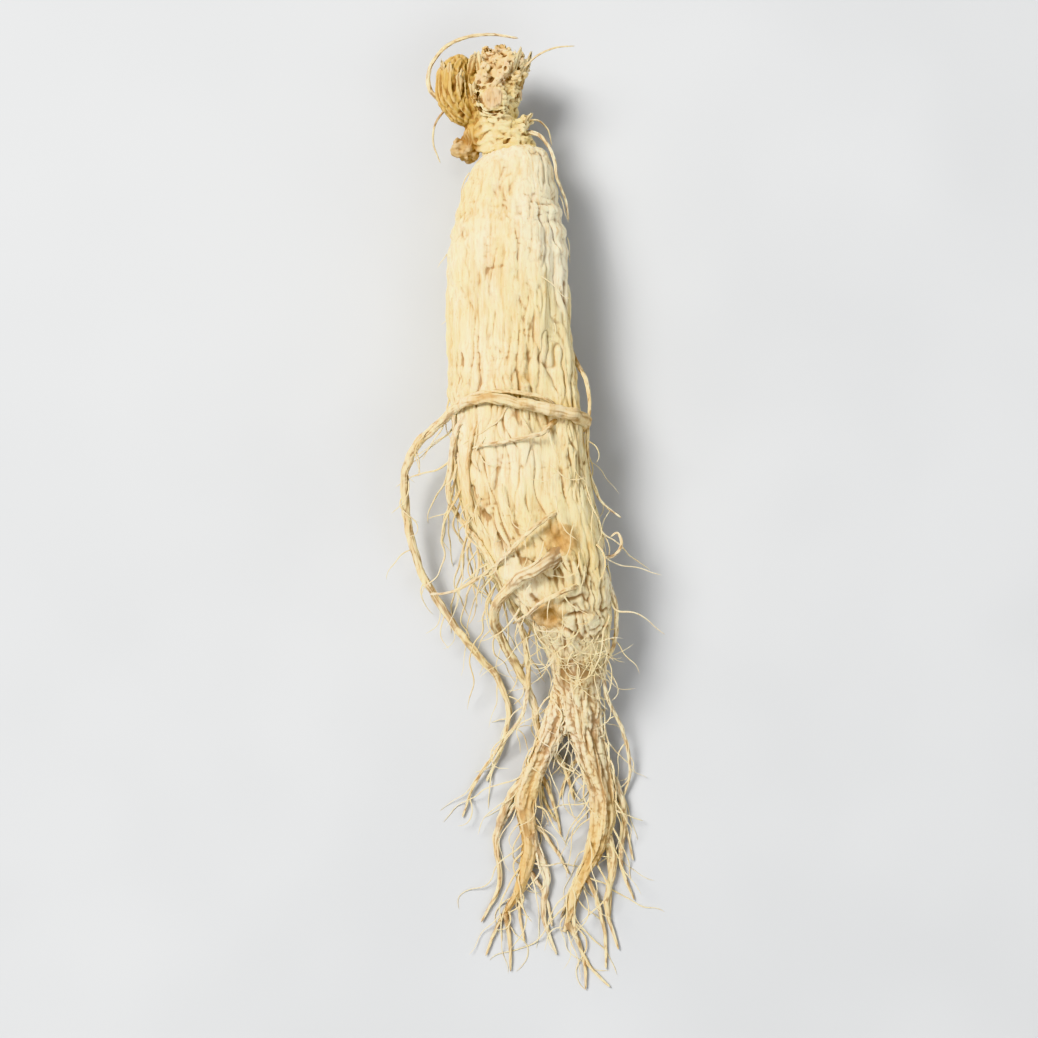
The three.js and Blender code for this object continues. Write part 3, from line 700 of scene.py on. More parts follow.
# The legs. The first carries the body on, and so its lower half is part of the body.
LEGS = [
    [
        (11.0, -44.0, 6.8), (11.8, -53.0, 5.2), (13.4, -61.0, 4.0), (15.6, -69.0, 3.0),
        (14.6, -78.0, 2.3), (11.0, -86.0, 1.6), (8.6, -94.0, 0.8),
    ],
    [
        (10.2, -45.0, 6.0), (8.0, -54.0, 4.4), (4.2, -62.0, 3.2), (1.6, -70.0, 2.4),
        (2.4, -78.0, 1.9), (0.4, -86.0, 1.3), (-3.2, -92.0, 0.6),
    ],
]
FIRST_LEG_RADII = [4.7, 4.3, 3.6, 3.0, 2.5, 2.1, 1.6, 1.1, 0.6]
SECOND_LEG_RADII = [3.4, 3.1, 2.6, 2.2, 1.8, 1.4, 1.0, 0.45]

# Slim branches of the legs.
BRANCHES = [
    [(12.6, -57.0, 4.4), (16.6, -64.0, 2.6), (19.6, -72.0, 1.2), (19.0, -81.0, 0.7), (21.4, -88.0, 0.5)],
    [(3.6, -63.0, 3.0), (-1.0, -69.0, 1.6), (-3.6, -77.0, 0.8), (-3.0, -85.0, 0.6), (-6.4, -92.0, 0.5)],
    [(15.0, -72.0, 2.6), (17.6, -80.0, 1.2), (16.4, -89.0, 0.7), (18.6, -97.0, 0.5)],
    [(2.2, -76.0, 2.0), (5.4, -83.0, 1.0), (5.0, -91.0, 0.6), (7.4, -98.0, 0.5)],
]
BRANCH_RADII = [1.0, 0.8, 0.65, 0.45, 0.2]

BEARD_SEED, BEARD_PER_LEG, BEARD_FROM, BEARD_TO = 5, 8, 0.3, 0.96
BEARD_REACH, BEARD_SPREAD, BEARD_BEND, BEARD_PIECES = (9, 20), (0.25, 0.9), (0.2, 1.1), 4
BEARD_RADII = [0.55, 0.42, 0.34, 0.2]
BEARD_FLOOR, BEARD_LANDING = 0.45, 3  # the height at which a rootlet lies, and after how many pieces
BRANCH_SIDES, BRANCH_STEP, BRANCH_BROWN = 18, 0.35, [0.1]
BEARD_SIDES, BEARD_STEP, BEARD_BROWN = 10, 0.45, [0.2]
PLACES = 400  # equal parts of a root, for the places of its rootlets and hairs


def tube_points(path, radius, angles, side, up):
    """The rings of a tube: path and radius by row, angles by column."""
    ring = side[:, None] * np.cos(angles)[None, :, None] + up[:, None] * np.sin(angles)[None, :, None]
    return path[:, None] + ring * radius[..., None]


# A side root's wrinkles. Cells are in radii, depths are shares of the radius, and lengths in radii.
LINE_CELL, LUMP_CELL, BAND_CELL, BAND_PATCH_CELL = np.array([
    [0.9, 7, 0.9], [2.2, 3.2, 2.2], [3, 0.9, 3], [3, 4, 3],
])
LINE_WIDTH, BAND_WIDTH, BAND_PATCH_EDGE = 0.22, 0.14, (-0.1, 0.4)
LINE_DEPTH, LUMP_HEIGHT, BAND_DEPTH, LEAST_SIZE = 0.16, 0.15, 0.07, 0.3
WINDING, WINDING_CELL, LYING = 0.3, (2.6, 1, 1), 0.6
FLARE, FLARE_LENGTH, LEAST_TIP, LEAST_TIP_LENGTH = 0.45, 1.6, 0.02, 0.1
# Painted shade where a side root leaves the body: how dark, and how far along it the shade fades.
BASE_SHADE, BASE_LENGTH = 0.5, 2.0
SEED_SHIFT = 53.1  # keeps the noise of two roots apart


def add_root(shape, route, radii, seed, brown, sides, step):
    """A wrinkled side root: it flares at its base and is rounded at its tip."""
    _, reach = curve(route, 8)
    rows = max(6, int(reach / step))
    path, _ = curve(route, rows)
    share = np.linspace(0, 1, rows)
    gone = share * reach
    base = through(radii, share)
    thin = base[:, None]
    ahead = stacked(gone + SEED_SHIFT * seed, 0, 0)
    for k in range(3):
        path[:, k] += WINDING * base * noise(ahead + 11 * k, WINDING_CELL, 70 + k)
    path[:, 2] = np.maximum(path[:, 2], base * LYING)
    flare = 1 + FLARE * np.exp(-gone / (FLARE_LENGTH * base[0]))
    tip = np.sqrt(np.clip((reach - gone) / (2 * base[-1] + LEAST_TIP_LENGTH), LEAST_TIP, 1))
    angles = full_turn(sides)
    size = max(base.mean(), LEAST_SIZE)
    local = stacked(thin * np.cos(angles), gone[:, None] + SEED_SHIFT * seed, thin * np.sin(angles))
    lines = creases(local, LINE_CELL * size, LINE_WIDTH, 71)
    lumps = noise(local, LUMP_CELL * size, 72)
    bands = creases(local, BAND_CELL * size, BAND_WIDTH, 73)
    bands = bands * in_patches(local, BAND_PATCH_CELL * size, BAND_PATCH_EDGE, 74)
    wrinkled = 1 + LUMP_HEIGHT * lumps - LINE_DEPTH * lines - BAND_DEPTH * bands
    radius = thin * (flare * tip)[:, None] * wrinkled
    side, up = frames(path)
    grid = tube_points(path, radius, angles, side, up)
    grid[..., 2] = np.maximum(grid[..., 2], 0)
    # Painted shade at the base, where the side root meets the body.
    base_shade = BASE_SHADE * np.exp(-gone[:, None] / BASE_LENGTH)
    crease = np.clip(LINE_DARKNESS * lines + CROSS_COLOUR * bands + base_shade, 0, 1)
    shape.tube(grid, crease=crease, stain=0.0, tone=0.3, tip=through(brown, share)[:, None], ridge=0.3)


HEAVY_RADIUS = 1
HEAVY, FINE = (24, 0.3), (12, 0.4)  # sides, and length of a row


def side_roots():
    shape = Shape()
    for seed, (radii, brown, route) in enumerate(SIDE_ROOTS):
        add_root(shape, route, radii, seed, brown, *(HEAVY if radii[0] > HEAVY_RADIUS else FINE))
    return shape.mesh("side_roots")


def seeded(seed):
    """Evenly spread numbers from 0 to 1, the same as the solid's."""
    state = seed
    while True:
        state = (state * 1664525 + 1013904223) % 2**32
        yield state / 2**32


def between(ends, share):
    return ends[0] + (ends[1] - ends[0]) * share


def beard_route(start, side, random):
    reach = between(BEARD_REACH, next(random))
    spread = side * between(BEARD_SPREAD, next(random))
    bend = -side * between(BEARD_BEND, next(random))
    route = [np.array(start)]
    for k in range(1, BEARD_PIECES + 1):
        heading = spread + bend * k / BEARD_PIECES
        x, y, _ = route[-1]
        piece = reach / BEARD_PIECES
        z = max(BEARD_FLOOR, start[2] * (1 - k / BEARD_LANDING))
        route.append(np.array([x + piece * math.sin(heading), y - piece * math.cos(heading), z]))
    return route


def beard():
    shape = Shape()
    for i, route in enumerate(BRANCHES):
        add_root(shape, route, BRANCH_RADII, 90 + i, BRANCH_BROWN, BRANCH_SIDES, BRANCH_STEP)
    random = seeded(BEARD_SEED)
    for number, leg in enumerate(LEGS):
        places, _ = curve(leg, PLACES + 1)
        for i in range(BEARD_PER_LEG):
            share = between((BEARD_FROM, BEARD_TO), i / (BEARD_PER_LEG - 1))
            route = beard_route(places[round(share * PLACES)], 1 if i % 2 else -1, random)
            seed = 40 + i + 10 * number
            add_root(shape, route, BEARD_RADII, seed, BEARD_BROWN, BEARD_SIDES, BEARD_STEP)
    return shape.mesh("beard")


# The rhizome: a ringed neck and a crown of buds, with a pleated sheath at its left.

HEAD_AXIS = [
    (0.2, 43.6, 11.0), (-2.0, 47.4, 11.2), (-3.8, 50.4, 11.5), (-4.4, 53.8, 11.8),
    (-4.6, 57.4, 12.0), (-4.6, 60.4, 12.2), (-4.8, 62.6, 12.2),
]
HEAD_RADII = [4.8, 4.6, 4.4, 4.2, 4.3, 4.1, 2.2]
HEAD_ROWS, HEAD_SIDES = 150, 110
# Waves round a tube: height, how many, how far they twist along it, phase.
HEAD_LOBES = [(0.07, 3, 14, 0)]
NECK_WOBBLES = [(0.35, 2, 5, 0), (0.25, 5, 9, 0)]
NECK_RING_SPACING, NECK_RING_DEPTH, NECK_RING_EDGE, NECK_RING_MEAN = 1.35, 0.14, 0.6, 0.6
SHEATH_AXIS = [
    (-6.4, 50.8, 11.4), (-9.0, 53.6, 11.8), (-10.4, 57.0, 12.0), (-10.2, 60.4, 12.2), (-8.8, 62.8, 12.2),
]
SHEATH_RADII = [1.0, 3.1, 4.0, 3.6, 1.4]
SHEATH_ROWS, SHEATH_SIDES = 110, 180
PLEATS, PLEAT_DEPTH, PLEAT_TWIST, PLEAT_EDGE, PLEAT_MEAN = 19, 0.2, 1.6, 0.55, 0.75
PLEAT_DRIFTS = [(0.7, 2, 0, 1.5), (0.5, 1, 5, 0), (0.5, 4, 9, 0)]
# Each knob is its centre and its radius.
KNOBS = [
    (-4.2, 54.8, 14.2, 3.0), (0.2, 49.9, 12.4, 2.0), (-8.9, 46.8, 10.4, 1.9), (-7.0, 49.2, 11.4, 2.4),
    (-1.0, 56.6, 11.6, 2.3), (-5.8, 52.6, 8.6, 2.4), (-1.4, 53.4, 9.6, 2.0), (-2.9, 60.6, 12.2, 4.0),
    (-3.1, 59.2, 14.8, 2.0), (-5.9, 58.8, 14.0, 2.0), (-6.6, 56.4, 13.8, 1.7), (-1.2, 57.6, 13.6, 1.9),
]
# Each bowl that a stem left: the middle of its mouth, the way it faces, and its mouth's radius.
BOWLS = [
    ((-3.9, 55.0, 17.1), (0.15, 0.0, 1.0), 2.0), ((-5.4, 57.4, 8.0), (-0.2, 0.1, -1.0), 1.9),
    ((1.1, 56.6, 11.8), (1.0, 0.0, 0.1), 1.3), ((-0.6, 53.0, 8.2), (0.6, 0.0, -0.8), 1.4),
    ((-3.4, 64.3, 13.0), (0.1, 1.0, 0.3), 1.5),
]
BOWL_DEPTH = 0.16  # as a share of the mouth's radius
LIP_SIDE = (-0.5, -0.85)  # the side on which the folds round a bowl are highest
# Pits and slits in the top of the head, each from one point to another: x, y, x, y, width, depth.
HEAD_MARKS = [
    (-4.5, 58.0, -4.2, 58.6, 0.3, 0.4), (-1.9, 62.2, -2.2, 62.9, 0.35, 0.6),
    (-2.1, 61.0, -1.3, 60.8, 0.24, 0.4), (-0.1, 60.6, 0.2, 61.1, 0.25, 0.4),
    (-6.7, 63.4, -6.3, 63.8, 0.3, 0.4), (-13.2, 60.4, -12.8, 61.2, 0.4, 0.5),
    (-4.7, 52.6, -3.4, 51.9, 0.22, 0.4), (-2.6, 47.4, -0.6, 47.8, 0.22, 0.5),
    (-8.2, 45.0, -7.6, 45.2, 0.35, 0.4), (-9.4, 58.4, -9.2, 54.2, 0.2, 0.45),
    (-8.5, 57.2, -8.4, 54.6, 0.18, 0.4), (-6.7, 57.4, -6.9, 55.2, 0.2, 0.4),
    (-10.8, 59.4, -10.9, 55.4, 0.2, 0.25), (-10.0, 53.2, -9.2, 51.6, 0.3, 0.4),
    (-7.6, 60.8, -7.2, 59.2, 0.2, 0.3),
]
# Round a bowl, distances and widths are shares of its radius.
LIPS = [(1.14, 0.1, 0.48), (1.42, 0.09, 0.42), (1.7, 0.09, 0.32)]  # distance, width, height
LIP_CELL, LIP_SWING, LIP_LEAST, LIP_SIDE_SPAN = 1.3, 0.8, 0.25, (-0.4, 0.9)
GROOVE_INWARD, GROOVE_WIDTH = 0.14, 0.06
BOWL_CELL, BOWL_RAGGED, BOWL_EDGE, SCAR_EDGE, SCAR_BLUR = 1.6, 0.14, 1.1, 1.05, 0.25
BOWL_REACH, BOWL_FADE = 2.8, 1.2  # in millimetres in front of and behind the mouth
# Beds that small buds crowd over, on the crown, the nub and low at the left: centre, size, buds.
LOW_BED = (-8.9, 46.9, 10.4)
BEDS = [
    ((-2.6, 60.4, 12.4), (4.2, 3.7, 4.3), 34), ((0.3, 49.9, 12.4), (1.7, 1.9, 1.8), 9),
    (LOW_BED, (1.7, 1.8, 1.7), 13),
]
BUD_RADIUS, BUD_SWING, BUD_PACE, BUD_LENGTH, BUD_ROUGH = 0.9, 0.38, 5.1, 1.2, 0.3
BUD_ROWS, BUD_SIDES, KNOB_ROWS, KNOB_SIDES, KNOB_ROUGH = 10, 14, 18, 24, 0.14
LUMP_POLE, ROUGH_CELL, ROUGH_SHIFT = 0.06, 0.9, 7.3
GOLDEN_ANGLE = math.pi * (3 - math.sqrt(5))


def add_lump(shape, centre, size, seed, rough, rows, sides):
    """A closed uneven ball, with its poles towards the two ends of y."""
    lift = np.linspace(LUMP_POLE, math.pi - LUMP_POLE, rows)[:, None]
    a = full_turn(sides)
    ball = stacked(np.sin(lift) * np.cos(a), np.cos(lift), np.sin(lift) * np.sin(a))
    ball = ball * (1 + rough * noise(ball + ROUGH_SHIFT * seed, ROUGH_CELL, 81))[..., None]
    shape.tube(np.asarray(centre) + ball * np.asarray(size))


def add_buds(shape, centre, size, count):
    """Small buds spread evenly over an oval bed, each a little larger or smaller."""
    for i in range(count):
        across = 1 - 2 * (i + 0.5) / count
        level = math.sqrt(1 - across * across)
        way = np.array([level * math.cos(i * GOLDEN_ANGLE), level * math.sin(i * GOLDEN_ANGLE), across])
        radius = BUD_RADIUS + BUD_SWING * math.sin(BUD_PACE * i)
        size_of_bud = (radius, BUD_LENGTH * radius, radius)
        add_lump(shape, np.asarray(centre) + way * size, size_of_bud, i, BUD_ROUGH, BUD_ROWS, BUD_SIDES)


def rippled(kinds, a, share):
    """The sum of some kinds of waves round a tube."""
    return sum(height * np.sin(count * a + twist * share + phase) for height, count, twist, phase in kinds)


def ringed_core():
    path, _ = curve(HEAD_AXIS, HEAD_ROWS)
    share = np.linspace(0, 1, HEAD_ROWS)[:, None]
    a = full_turn(HEAD_SIDES)
    directions = frames(path)
    lobed = through(HEAD_RADII, share[:, 0])[:, None] * (1 + rippled(HEAD_LOBES, a, share))
    level = tube_points(path, lobed, a, *directions)[..., 1]
    level = level + rippled(NECK_WOBBLES, a, share)
    ring = np.abs(np.sin(math.pi * level / NECK_RING_SPACING)) ** NECK_RING_EDGE
    return tube_points(path, lobed * (1 + NECK_RING_DEPTH * (ring - NECK_RING_MEAN)), a, *directions)


def pleated_sheath():
    path, _ = curve(SHEATH_AXIS, SHEATH_ROWS)
    share = np.linspace(0, 1, SHEATH_ROWS)[:, None]
    a = full_turn(SHEATH_SIDES)
    turned = PLEATS * a + rippled(PLEAT_DRIFTS, a, share) + PLEAT_TWIST * share
    fold = np.abs(np.sin(turned / 2)) ** PLEAT_EDGE
    radius = through(SHEATH_RADII, share[:, 0])[:, None] * (1 + PLEAT_DEPTH * (fold - PLEAT_MEAN))
    return tube_points(path, radius, a, *frames(path))


def away_from(points, route):
    """How far each point is from a route."""
    path, _ = curve(route, ROUTE_STEPS)
    return np.sqrt(np.min(np.sum((points[:, None] - path[None]) ** 2, axis=-1), axis=1))


def press_bowls(mesh):
    """Hollows the bowls and folds the skin round them, and tells where their scars and grooves are."""
    points, normals, _ = read(mesh)
    scar = np.zeros(len(points))
    groove = np.zeros(len(points))
    for mouth, way, opening in BOWLS:
        way = np.array(way) / np.linalg.norm(way)
        deep = BOWL_DEPTH * opening
        ball = (opening**2 + deep**2) / (2 * deep)
        centre = np.array(mouth) + way * (ball - deep)
        level = (points - mouth) @ way
        flat = np.linalg.norm(points - mouth - level[:, None] * way, axis=1) / opening
        flat = flat * (1 + BOWL_RAGGED * noise(points, BOWL_CELL, 87))
        arm = points - centre
        away = np.linalg.norm(arm, axis=1)
        inside = (away < ball) & (flat < BOWL_EDGE)
        points[inside] = centre + arm[inside] * (ball / away[inside, None])
        near = smooth(BOWL_REACH - np.abs(level), 0, BOWL_FADE)
        uneven = 1 + LIP_SWING * noise(points, LIP_CELL, 88)
        plan = (points[:, :2] - mouth[:2]) / opening
        folded = LIP_LEAST + (1 - LIP_LEAST) * smooth(plan @ LIP_SIDE, *LIP_SIDE_SPAN)
        for distance, width, height in LIPS:
            lip = height * opening / 2 * bell((flat - distance) / width) * near * uneven * folded
            points += normals * lip[:, None]
            cut = bell((flat - distance + GROOVE_INWARD) / GROOVE_WIDTH)
            groove = np.maximum(groove, cut * near * folded)
        scar = np.maximum(scar, smooth(SCAR_EDGE - flat, 0, SCAR_BLUR) * near)
    write(mesh, points)
    return scar, groove


GOLD_REACH, GOLD_BLUR, GOLD_LEFT = 5.2, 1.2, (5.2, 7.4)  # how near the sheath's axis, and how far left
CROWN_SPAN, LUMP_SPAN, PIT_SPAN, PINK_SPAN = (54, 57), (51, 56), (56, 58.5), (55.5, 59)  # from y to y
# Each kind of relief has its cell and depth, and creases have their width in between.
FOLD, FINE_FOLD, FINE_FOLD_MORE = ((2.2, 1.5, 2.2), 0.2, 0.26), ((1.0, 0.8, 1.0), 0.22, 0.12), 0.1
PAPER_FOLD, SCRATCH = ((0.9, 6.0, 0.9), 0.22, 0.2), ((0.6, 3.2, 3.2), 0.26, 0.15)
LUMP, LUMP_MORE, SMALL_LUMP = ((1.8, 1.4, 1.8), 0.08), 0.2, ((0.9, 0.8, 0.9), 0.16)
PIT, PIT_SPREAD = (1.3, 0.3), (0.4, 0.65)
CALM, SCAR_CALM, HEAD_ROUNDS, HEAD_HOLLOW_ROUNDS = 0.8, 0.7, 2, 25
HEAD_UPPER_SIDE = (-0.1, 0.3)
# Painted shade in the hollows of the rhizome, and painted highlight on its ridges.
HEAD_HOLLOW_SHADE, HEAD_RIDGE_HIGHLIGHT = 2.2, 2.5
HEAD_DARKNESS = (0.5, 1.8, 0.45, 2.5, 1.1, 0.4)  # of folds, papery folds, pits, scratches, marks, grooves: partly their own brown, partly painted shade
# The skin round the low bud bed is darker, its own brown and painted shade: how far from it, and how softly
# it fades.
BROWN_AND_SHADE_REACH, BROWN_AND_SHADE_BLUR = 4.6, 2


def pressed(points, kind, seed):
    cell, width, depth = kind
    return creases(points, cell, width, seed) * depth


def head():
    """The rhizome in one skin, with its bowls hollowed and its folds pressed in."""
    shape = Shape()
    shape.tube(ringed_core())
    shape.tube(pleated_sheath())
    for i, (x, y, z, r) in enumerate(KNOBS):
        add_lump(shape, (x, y, z), (r, r, r), 30 + i, KNOB_ROUGH, KNOB_ROWS, KNOB_SIDES)
    for bed in BEDS:
        add_buds(shape, *bed)
    mesh = fused(shape, HEAD_VOXEL)
    points, _, edges = read(mesh)
    write(mesh, relaxed(points, edges, HEAD_ROUNDS))
    scar, groove = press_bowls(mesh)
    points, normals, _ = read(mesh)
    y = points[:, 1]
    gold = smooth(GOLD_REACH - away_from(points, SHEATH_AXIS), 0, GOLD_BLUR)
    gold = gold * smooth(-points[:, 0], *GOLD_LEFT)
    calm = 1 - CALM * np.maximum(gold, scar)
    top = smooth(y, *CROWN_SPAN)
    cell, width, depth = FINE_FOLD
    folds = pressed(points, FOLD, 83)
    folds = folds + creases(points, cell, width, 84) * (depth + FINE_FOLD_MORE * top)
    papery = pressed(points, PAPER_FOLD, 86)
    cell, height = LUMP
    lumps = noise(points, cell, 85) * (height + LUMP_MORE * smooth(y, *LUMP_SPAN))
    cell, height = SMALL_LUMP
    lumps = lumps + noise(points, cell, 90) * height * top
    cell, pit_depth = PIT
    pits = in_patches(points, cell, PIT_SPREAD, 89) * smooth(y, *PIT_SPAN) * (1 - gold)
    cell, width, depth = SCRATCH
    scratch = creases(points, cell, width, 91) * scar * depth
    cut = marks(points, smooth(normals[:, 2], *HEAD_UPPER_SIDE), HEAD_MARKS)
    relief = (lumps - folds) * calm - papery * gold - pit_depth * pits - scratch - cut
    points = points + normals * relief[:, None]
    points[:, 2] = np.maximum(points[:, 2], 0)
    write(mesh, points)
    deep = hollow(mesh, HEAD_HOLLOW_ROUNDS) * (1 - SCAR_CALM * scar)
    features = (folds * calm, papery * gold, pits, scratch, cut, groove)
    dark = sum(darkness * feature for darkness, feature in zip(HEAD_DARKNESS, features))
    values = {
        # Painted shade in hollows and in the folds, pits and grooves, partly their own brown.
        "crease": np.clip(HEAD_HOLLOW_SHADE * deep + dark, 0, 1),
        "ridge": np.clip(-HEAD_RIDGE_HIGHLIGHT * deep, 0, 1),
        "gold": gold,
        "pink": smooth(points[:, 1], *PINK_SPAN) * (1 - gold),
        "scar": scar,
        # Darker round the low bud bed: its own brown and painted shade.
        "brown": smooth(BROWN_AND_SHADE_REACH - np.linalg.norm(points - LOW_BED, axis=1), 0, BROWN_AND_SHADE_BLUR),
    }
    return finished(mesh, "rhizome", values)


# Papery scales: the middle of the foot, the way it grows, the way its back faces, length, width.
SCALES = [
    ((0.6, 57.4, 13.6), (0.25, 1.0, 0.05), (0.9, 0.0, 0.5), 5.0, 3.4),
    ((-1.0, 58.4, 15.2), (0.2, 1.0, 0.1), (0.5, 0.0, 1.0), 4.2, 2.4),
    ((-6.4, 59.8, 15.2), (-0.1, 1.0, 0.0), (-0.2, 0.2, 1.0), 2.8, 2.0),
    ((0.8, 57.4, 10.0), (0.2, 1.0, -0.1), (0.9, 0.0, -0.5), 5.0, 3.4),
    ((-2.6, 58.4, 8.2), (0.0, 1.0, -0.1), (0.1, 0.0, -1.0), 4.8, 3.4),
    ((-8.2, 59.2, 15.6), (0.2, 1.0, -0.1), (0.2, 0.2, 1.0), 3.8, 1.6),
    ((-13.2, 57.6, 13.6), (0.15, 1.0, 0.0), (-1.0, 0.2, 0.4), 3.8, 2.4),
    ((-12.0, 57.4, 9.2), (0.1, 1.0, 0.0), (-0.7, 0.2, -0.8), 4.6, 2.6),
    ((-6.9, 53.0, 14.8), (-0.15, 1.0, 0.1), (-0.3, 0.0, 1.0), 4.4, 1.8),
    ((1.6, 50.4, 13.2), (0.3, 1.0, 0.1), (0.9, 0.0, 0.5), 2.4, 1.8),
    ((1.4, 49.8, 10.6), (0.5, 1.0, -0.1), (0.9, 0.0, -0.5), 2.6, 1.8),
    ((-9.9, 55.4, 15.6), (0.0, 1.0, 0.1), (-0.1, -0.1, 1.0), 4.4, 1.4),
    ((-11.8, 56.2, 15.0), (0.1, 1.0, 0.0), (-0.5, -0.1, 1.0), 4.4, 1.4),
]
SCALE_ROWS, SCALE_SIDES = 26, 44
SCALE_THICKNESS, SCALE_CURL, SCALE_GIRTH = 0.16, 0.6, 2.2
GOLDEN_SCALES, GOLDEN, FOOT_GOLD = {5, 6, 7, 8, 11, 12}, 0.9, 0.4  # those on the sheath
SCALE_RIBS, SCALE_RIB, RIB_DRIFT = 9, 0.07, 1.5  # radians of the ribs' wave for each millimetre, height
SCALE_FOOT, SCALE_FULLNESS, FOOT_POWER, TIP_ROOM, TIP_POWER = 0.02, 1.25, 0.3, 1.03, 0.28
# A scale is darker towards its foot, with painted shade in the troughs between its ribs and painted highlight
# on their crests.
SCALE_DARKNESS, RIB_DARKNESS = 0.25, 0.2
RAGGED_EDGE, RAGGED_FOOT, SCALE_WAVE, SCALE_TEAR = 0.55, 0.4, 0.2, 0.45
SCALE_SHIFT = 9.7  # keeps the noise of two scales apart


def add_scale(shape, foot, way, back, length, width, seed):
    """A thin ribbed scale, rounded across, that curls out to a ragged tip."""
    way = np.array(way) / np.linalg.norm(way)
    back = np.array(back) - way * np.dot(back, way)
    back = back / np.linalg.norm(back)
    across = np.cross(way, back)
    share = np.linspace(SCALE_FOOT, 1, SCALE_ROWS)[:, None]
    a = full_turn(SCALE_SIDES)
    edge = SCALE_FULLNESS * share**FOOT_POWER * (TIP_ROOM - share) ** TIP_POWER
    line = stacked(share * length + SCALE_SHIFT * seed, np.cos(a) * width / 2, 0 * share)
    ragged = 1 + RAGGED_EDGE * noise(line, (0.8, 0.8, 1), 111) * (RAGGED_FOOT + share)
    u = np.cos(a) * edge * width / 2 * ragged
    ribs = np.sin(SCALE_RIBS * u + RIB_DRIFT * noise(line, (2, 1, 1), 114))
    v = np.sin(a) * SCALE_THICKNESS / 2 + SCALE_WAVE * noise(line, (0.9, 0.7, 1), 112) + SCALE_RIB * ribs
    rise = share * length * (1 + SCALE_TEAR * noise(line, (9, 0.5, 1), 113) * share**2)
    out = SCALE_GIRTH * (np.cos(u / SCALE_GIRTH) - 1) + v + SCALE_CURL * share**2
    side = SCALE_GIRTH * np.sin(u / SCALE_GIRTH)
    grid = np.asarray(foot) + rise[..., None] * way + out[..., None] * back + side[..., None] * across
    gold = GOLDEN if seed in GOLDEN_SCALES else FOOT_GOLD * (1 - share)
    # Darker towards the foot; painted shade in the rib troughs and painted highlight on the crests.
    crease = SCALE_DARKNESS * (2 - share) - RIB_DARKNESS * ribs
    shape.tube(grid, crease=crease, ridge=0.7 * share, gold=gold, pink=0.2, scar=0.0, brown=0.0)


def bud_scales():
    shape = Shape()
    for seed, scale in enumerate(SCALES):
        add_scale(shape, *scale, seed)
    return shape.mesh("bud_scales")


# Loose hairs

HAIR_SEED, HAIR_STEP = 11, 0.6
HAIR_WAVES = [(5.0, 0.9), (1.8, 0.4)]  # the lengths of the waves in a hair, and their strengths
HAIR_CLIMB = 0.7  # how strong the waves are up and down
HAIR_STIFFNESS = 5.0  # how far a hair goes before it hangs at its own slope
HAIR_SIDES, HAIR_ROUNDS, HAIR_LYING = 7, 2, 0.7
HAIR_TAPER, HAIR_TIP, HAIR_LEAST_TIP = 0.6, 12, 0.05  # share lost, and how suddenly and thinly it ends
HAIR_CELL, HAIR_UNEVEN, HAIR_SUNK = 1.5, 0.25, 0.25


def pushed_out(path, radius):
    """The path moved out of the body and the second leg, and up to what they lie on."""
    x, y, z = path.T
    leg_x, leg_z, leg_r = leg_axis(y)
    angle = np.arctan2((z - along(y, 2)) / FLATNESS, x - along(y, 1))
    own = form_radius(y, angle)
    forms = (
        (along(y, 1), along(y, 2), own, own * FLATNESS, STATIONS[-1, 0], STATIONS[0, 0]),
        (leg_x, leg_z, leg_r, leg_r, LEGS[1][-1][1], LEGS[1][0][1]),
    )
    for centre, level, wide, tall, low, high in forms:
        away = np.hypot((x - centre) / wide, (z - level) / tall)
        inside = (away < 1) & (y > low) & (y < high)
        out = np.where(inside, 1 / np.maximum(away, 0.1), 1)
        x = centre + (x - centre) * out
        z = level + (z - level) * out
    return stacked(x, y, np.maximum(z, HAIR_LYING * radius))


def waves(gone, seed):
    line = stacked(gone, 0, 0)
    return sum(
        strength * noise(line + 37.7 * seed, (length, 1, 1), 101 + k)
        for k, (length, strength) in enumerate(HAIR_WAVES)
    )


def wandering(start, heading, tilt, reach, bend, sag, seed):
    """The way of a dried hair. A heading of 0 runs down y, and more turns it to +x."""
    count = max(6, int(reach / HAIR_STEP))
    share = np.linspace(0, 1, count)
    gone = share * reach
    turned = heading + bend * share + waves(gone, seed)
    fresh = np.exp(-gone / HAIR_STIFFNESS)
    climb = tilt * fresh - sag * (1 - fresh) + HAIR_CLIMB * waves(gone, seed + 0.5)
    step = stacked(np.sin(turned) * np.cos(climb), -np.cos(turned) * np.cos(climb), np.sin(climb))
    way = np.cumsum(step, axis=0) * reach / count
    return np.asarray(start) + way - way[0]


def add_hair(shape, start, heading, tilt, reach, bend, sag, radius, seed, brown):
    """A thin dried hair that winds away from its start and comes to lie on what is under it."""
    path = pushed_out(wandering(start, heading, tilt, reach, bend, sag, seed), radius)
    path[0] = start
    for _ in range(HAIR_ROUNDS):
        path[1:-1] = (path[:-2] + 2 * path[1:-1] + path[2:]) / 4
    share = np.linspace(0, 1, len(path))
    tip = np.sqrt(np.clip((1 - share) * HAIR_TIP, HAIR_LEAST_TIP, 1))
    taper = radius * (1 - HAIR_TAPER * share) * tip
    taper = taper * (1 + HAIR_UNEVEN * noise(path + seed, HAIR_CELL, 102))
    grid = tube_points(path, taper[:, None], full_turn(HAIR_SIDES), *frames(path))
    grid[..., 2] = np.maximum(grid[..., 2], 0)
    shape.tube(grid, crease=0.2, stain=0.0, tone=0.3, tip=brown, ridge=0.4)


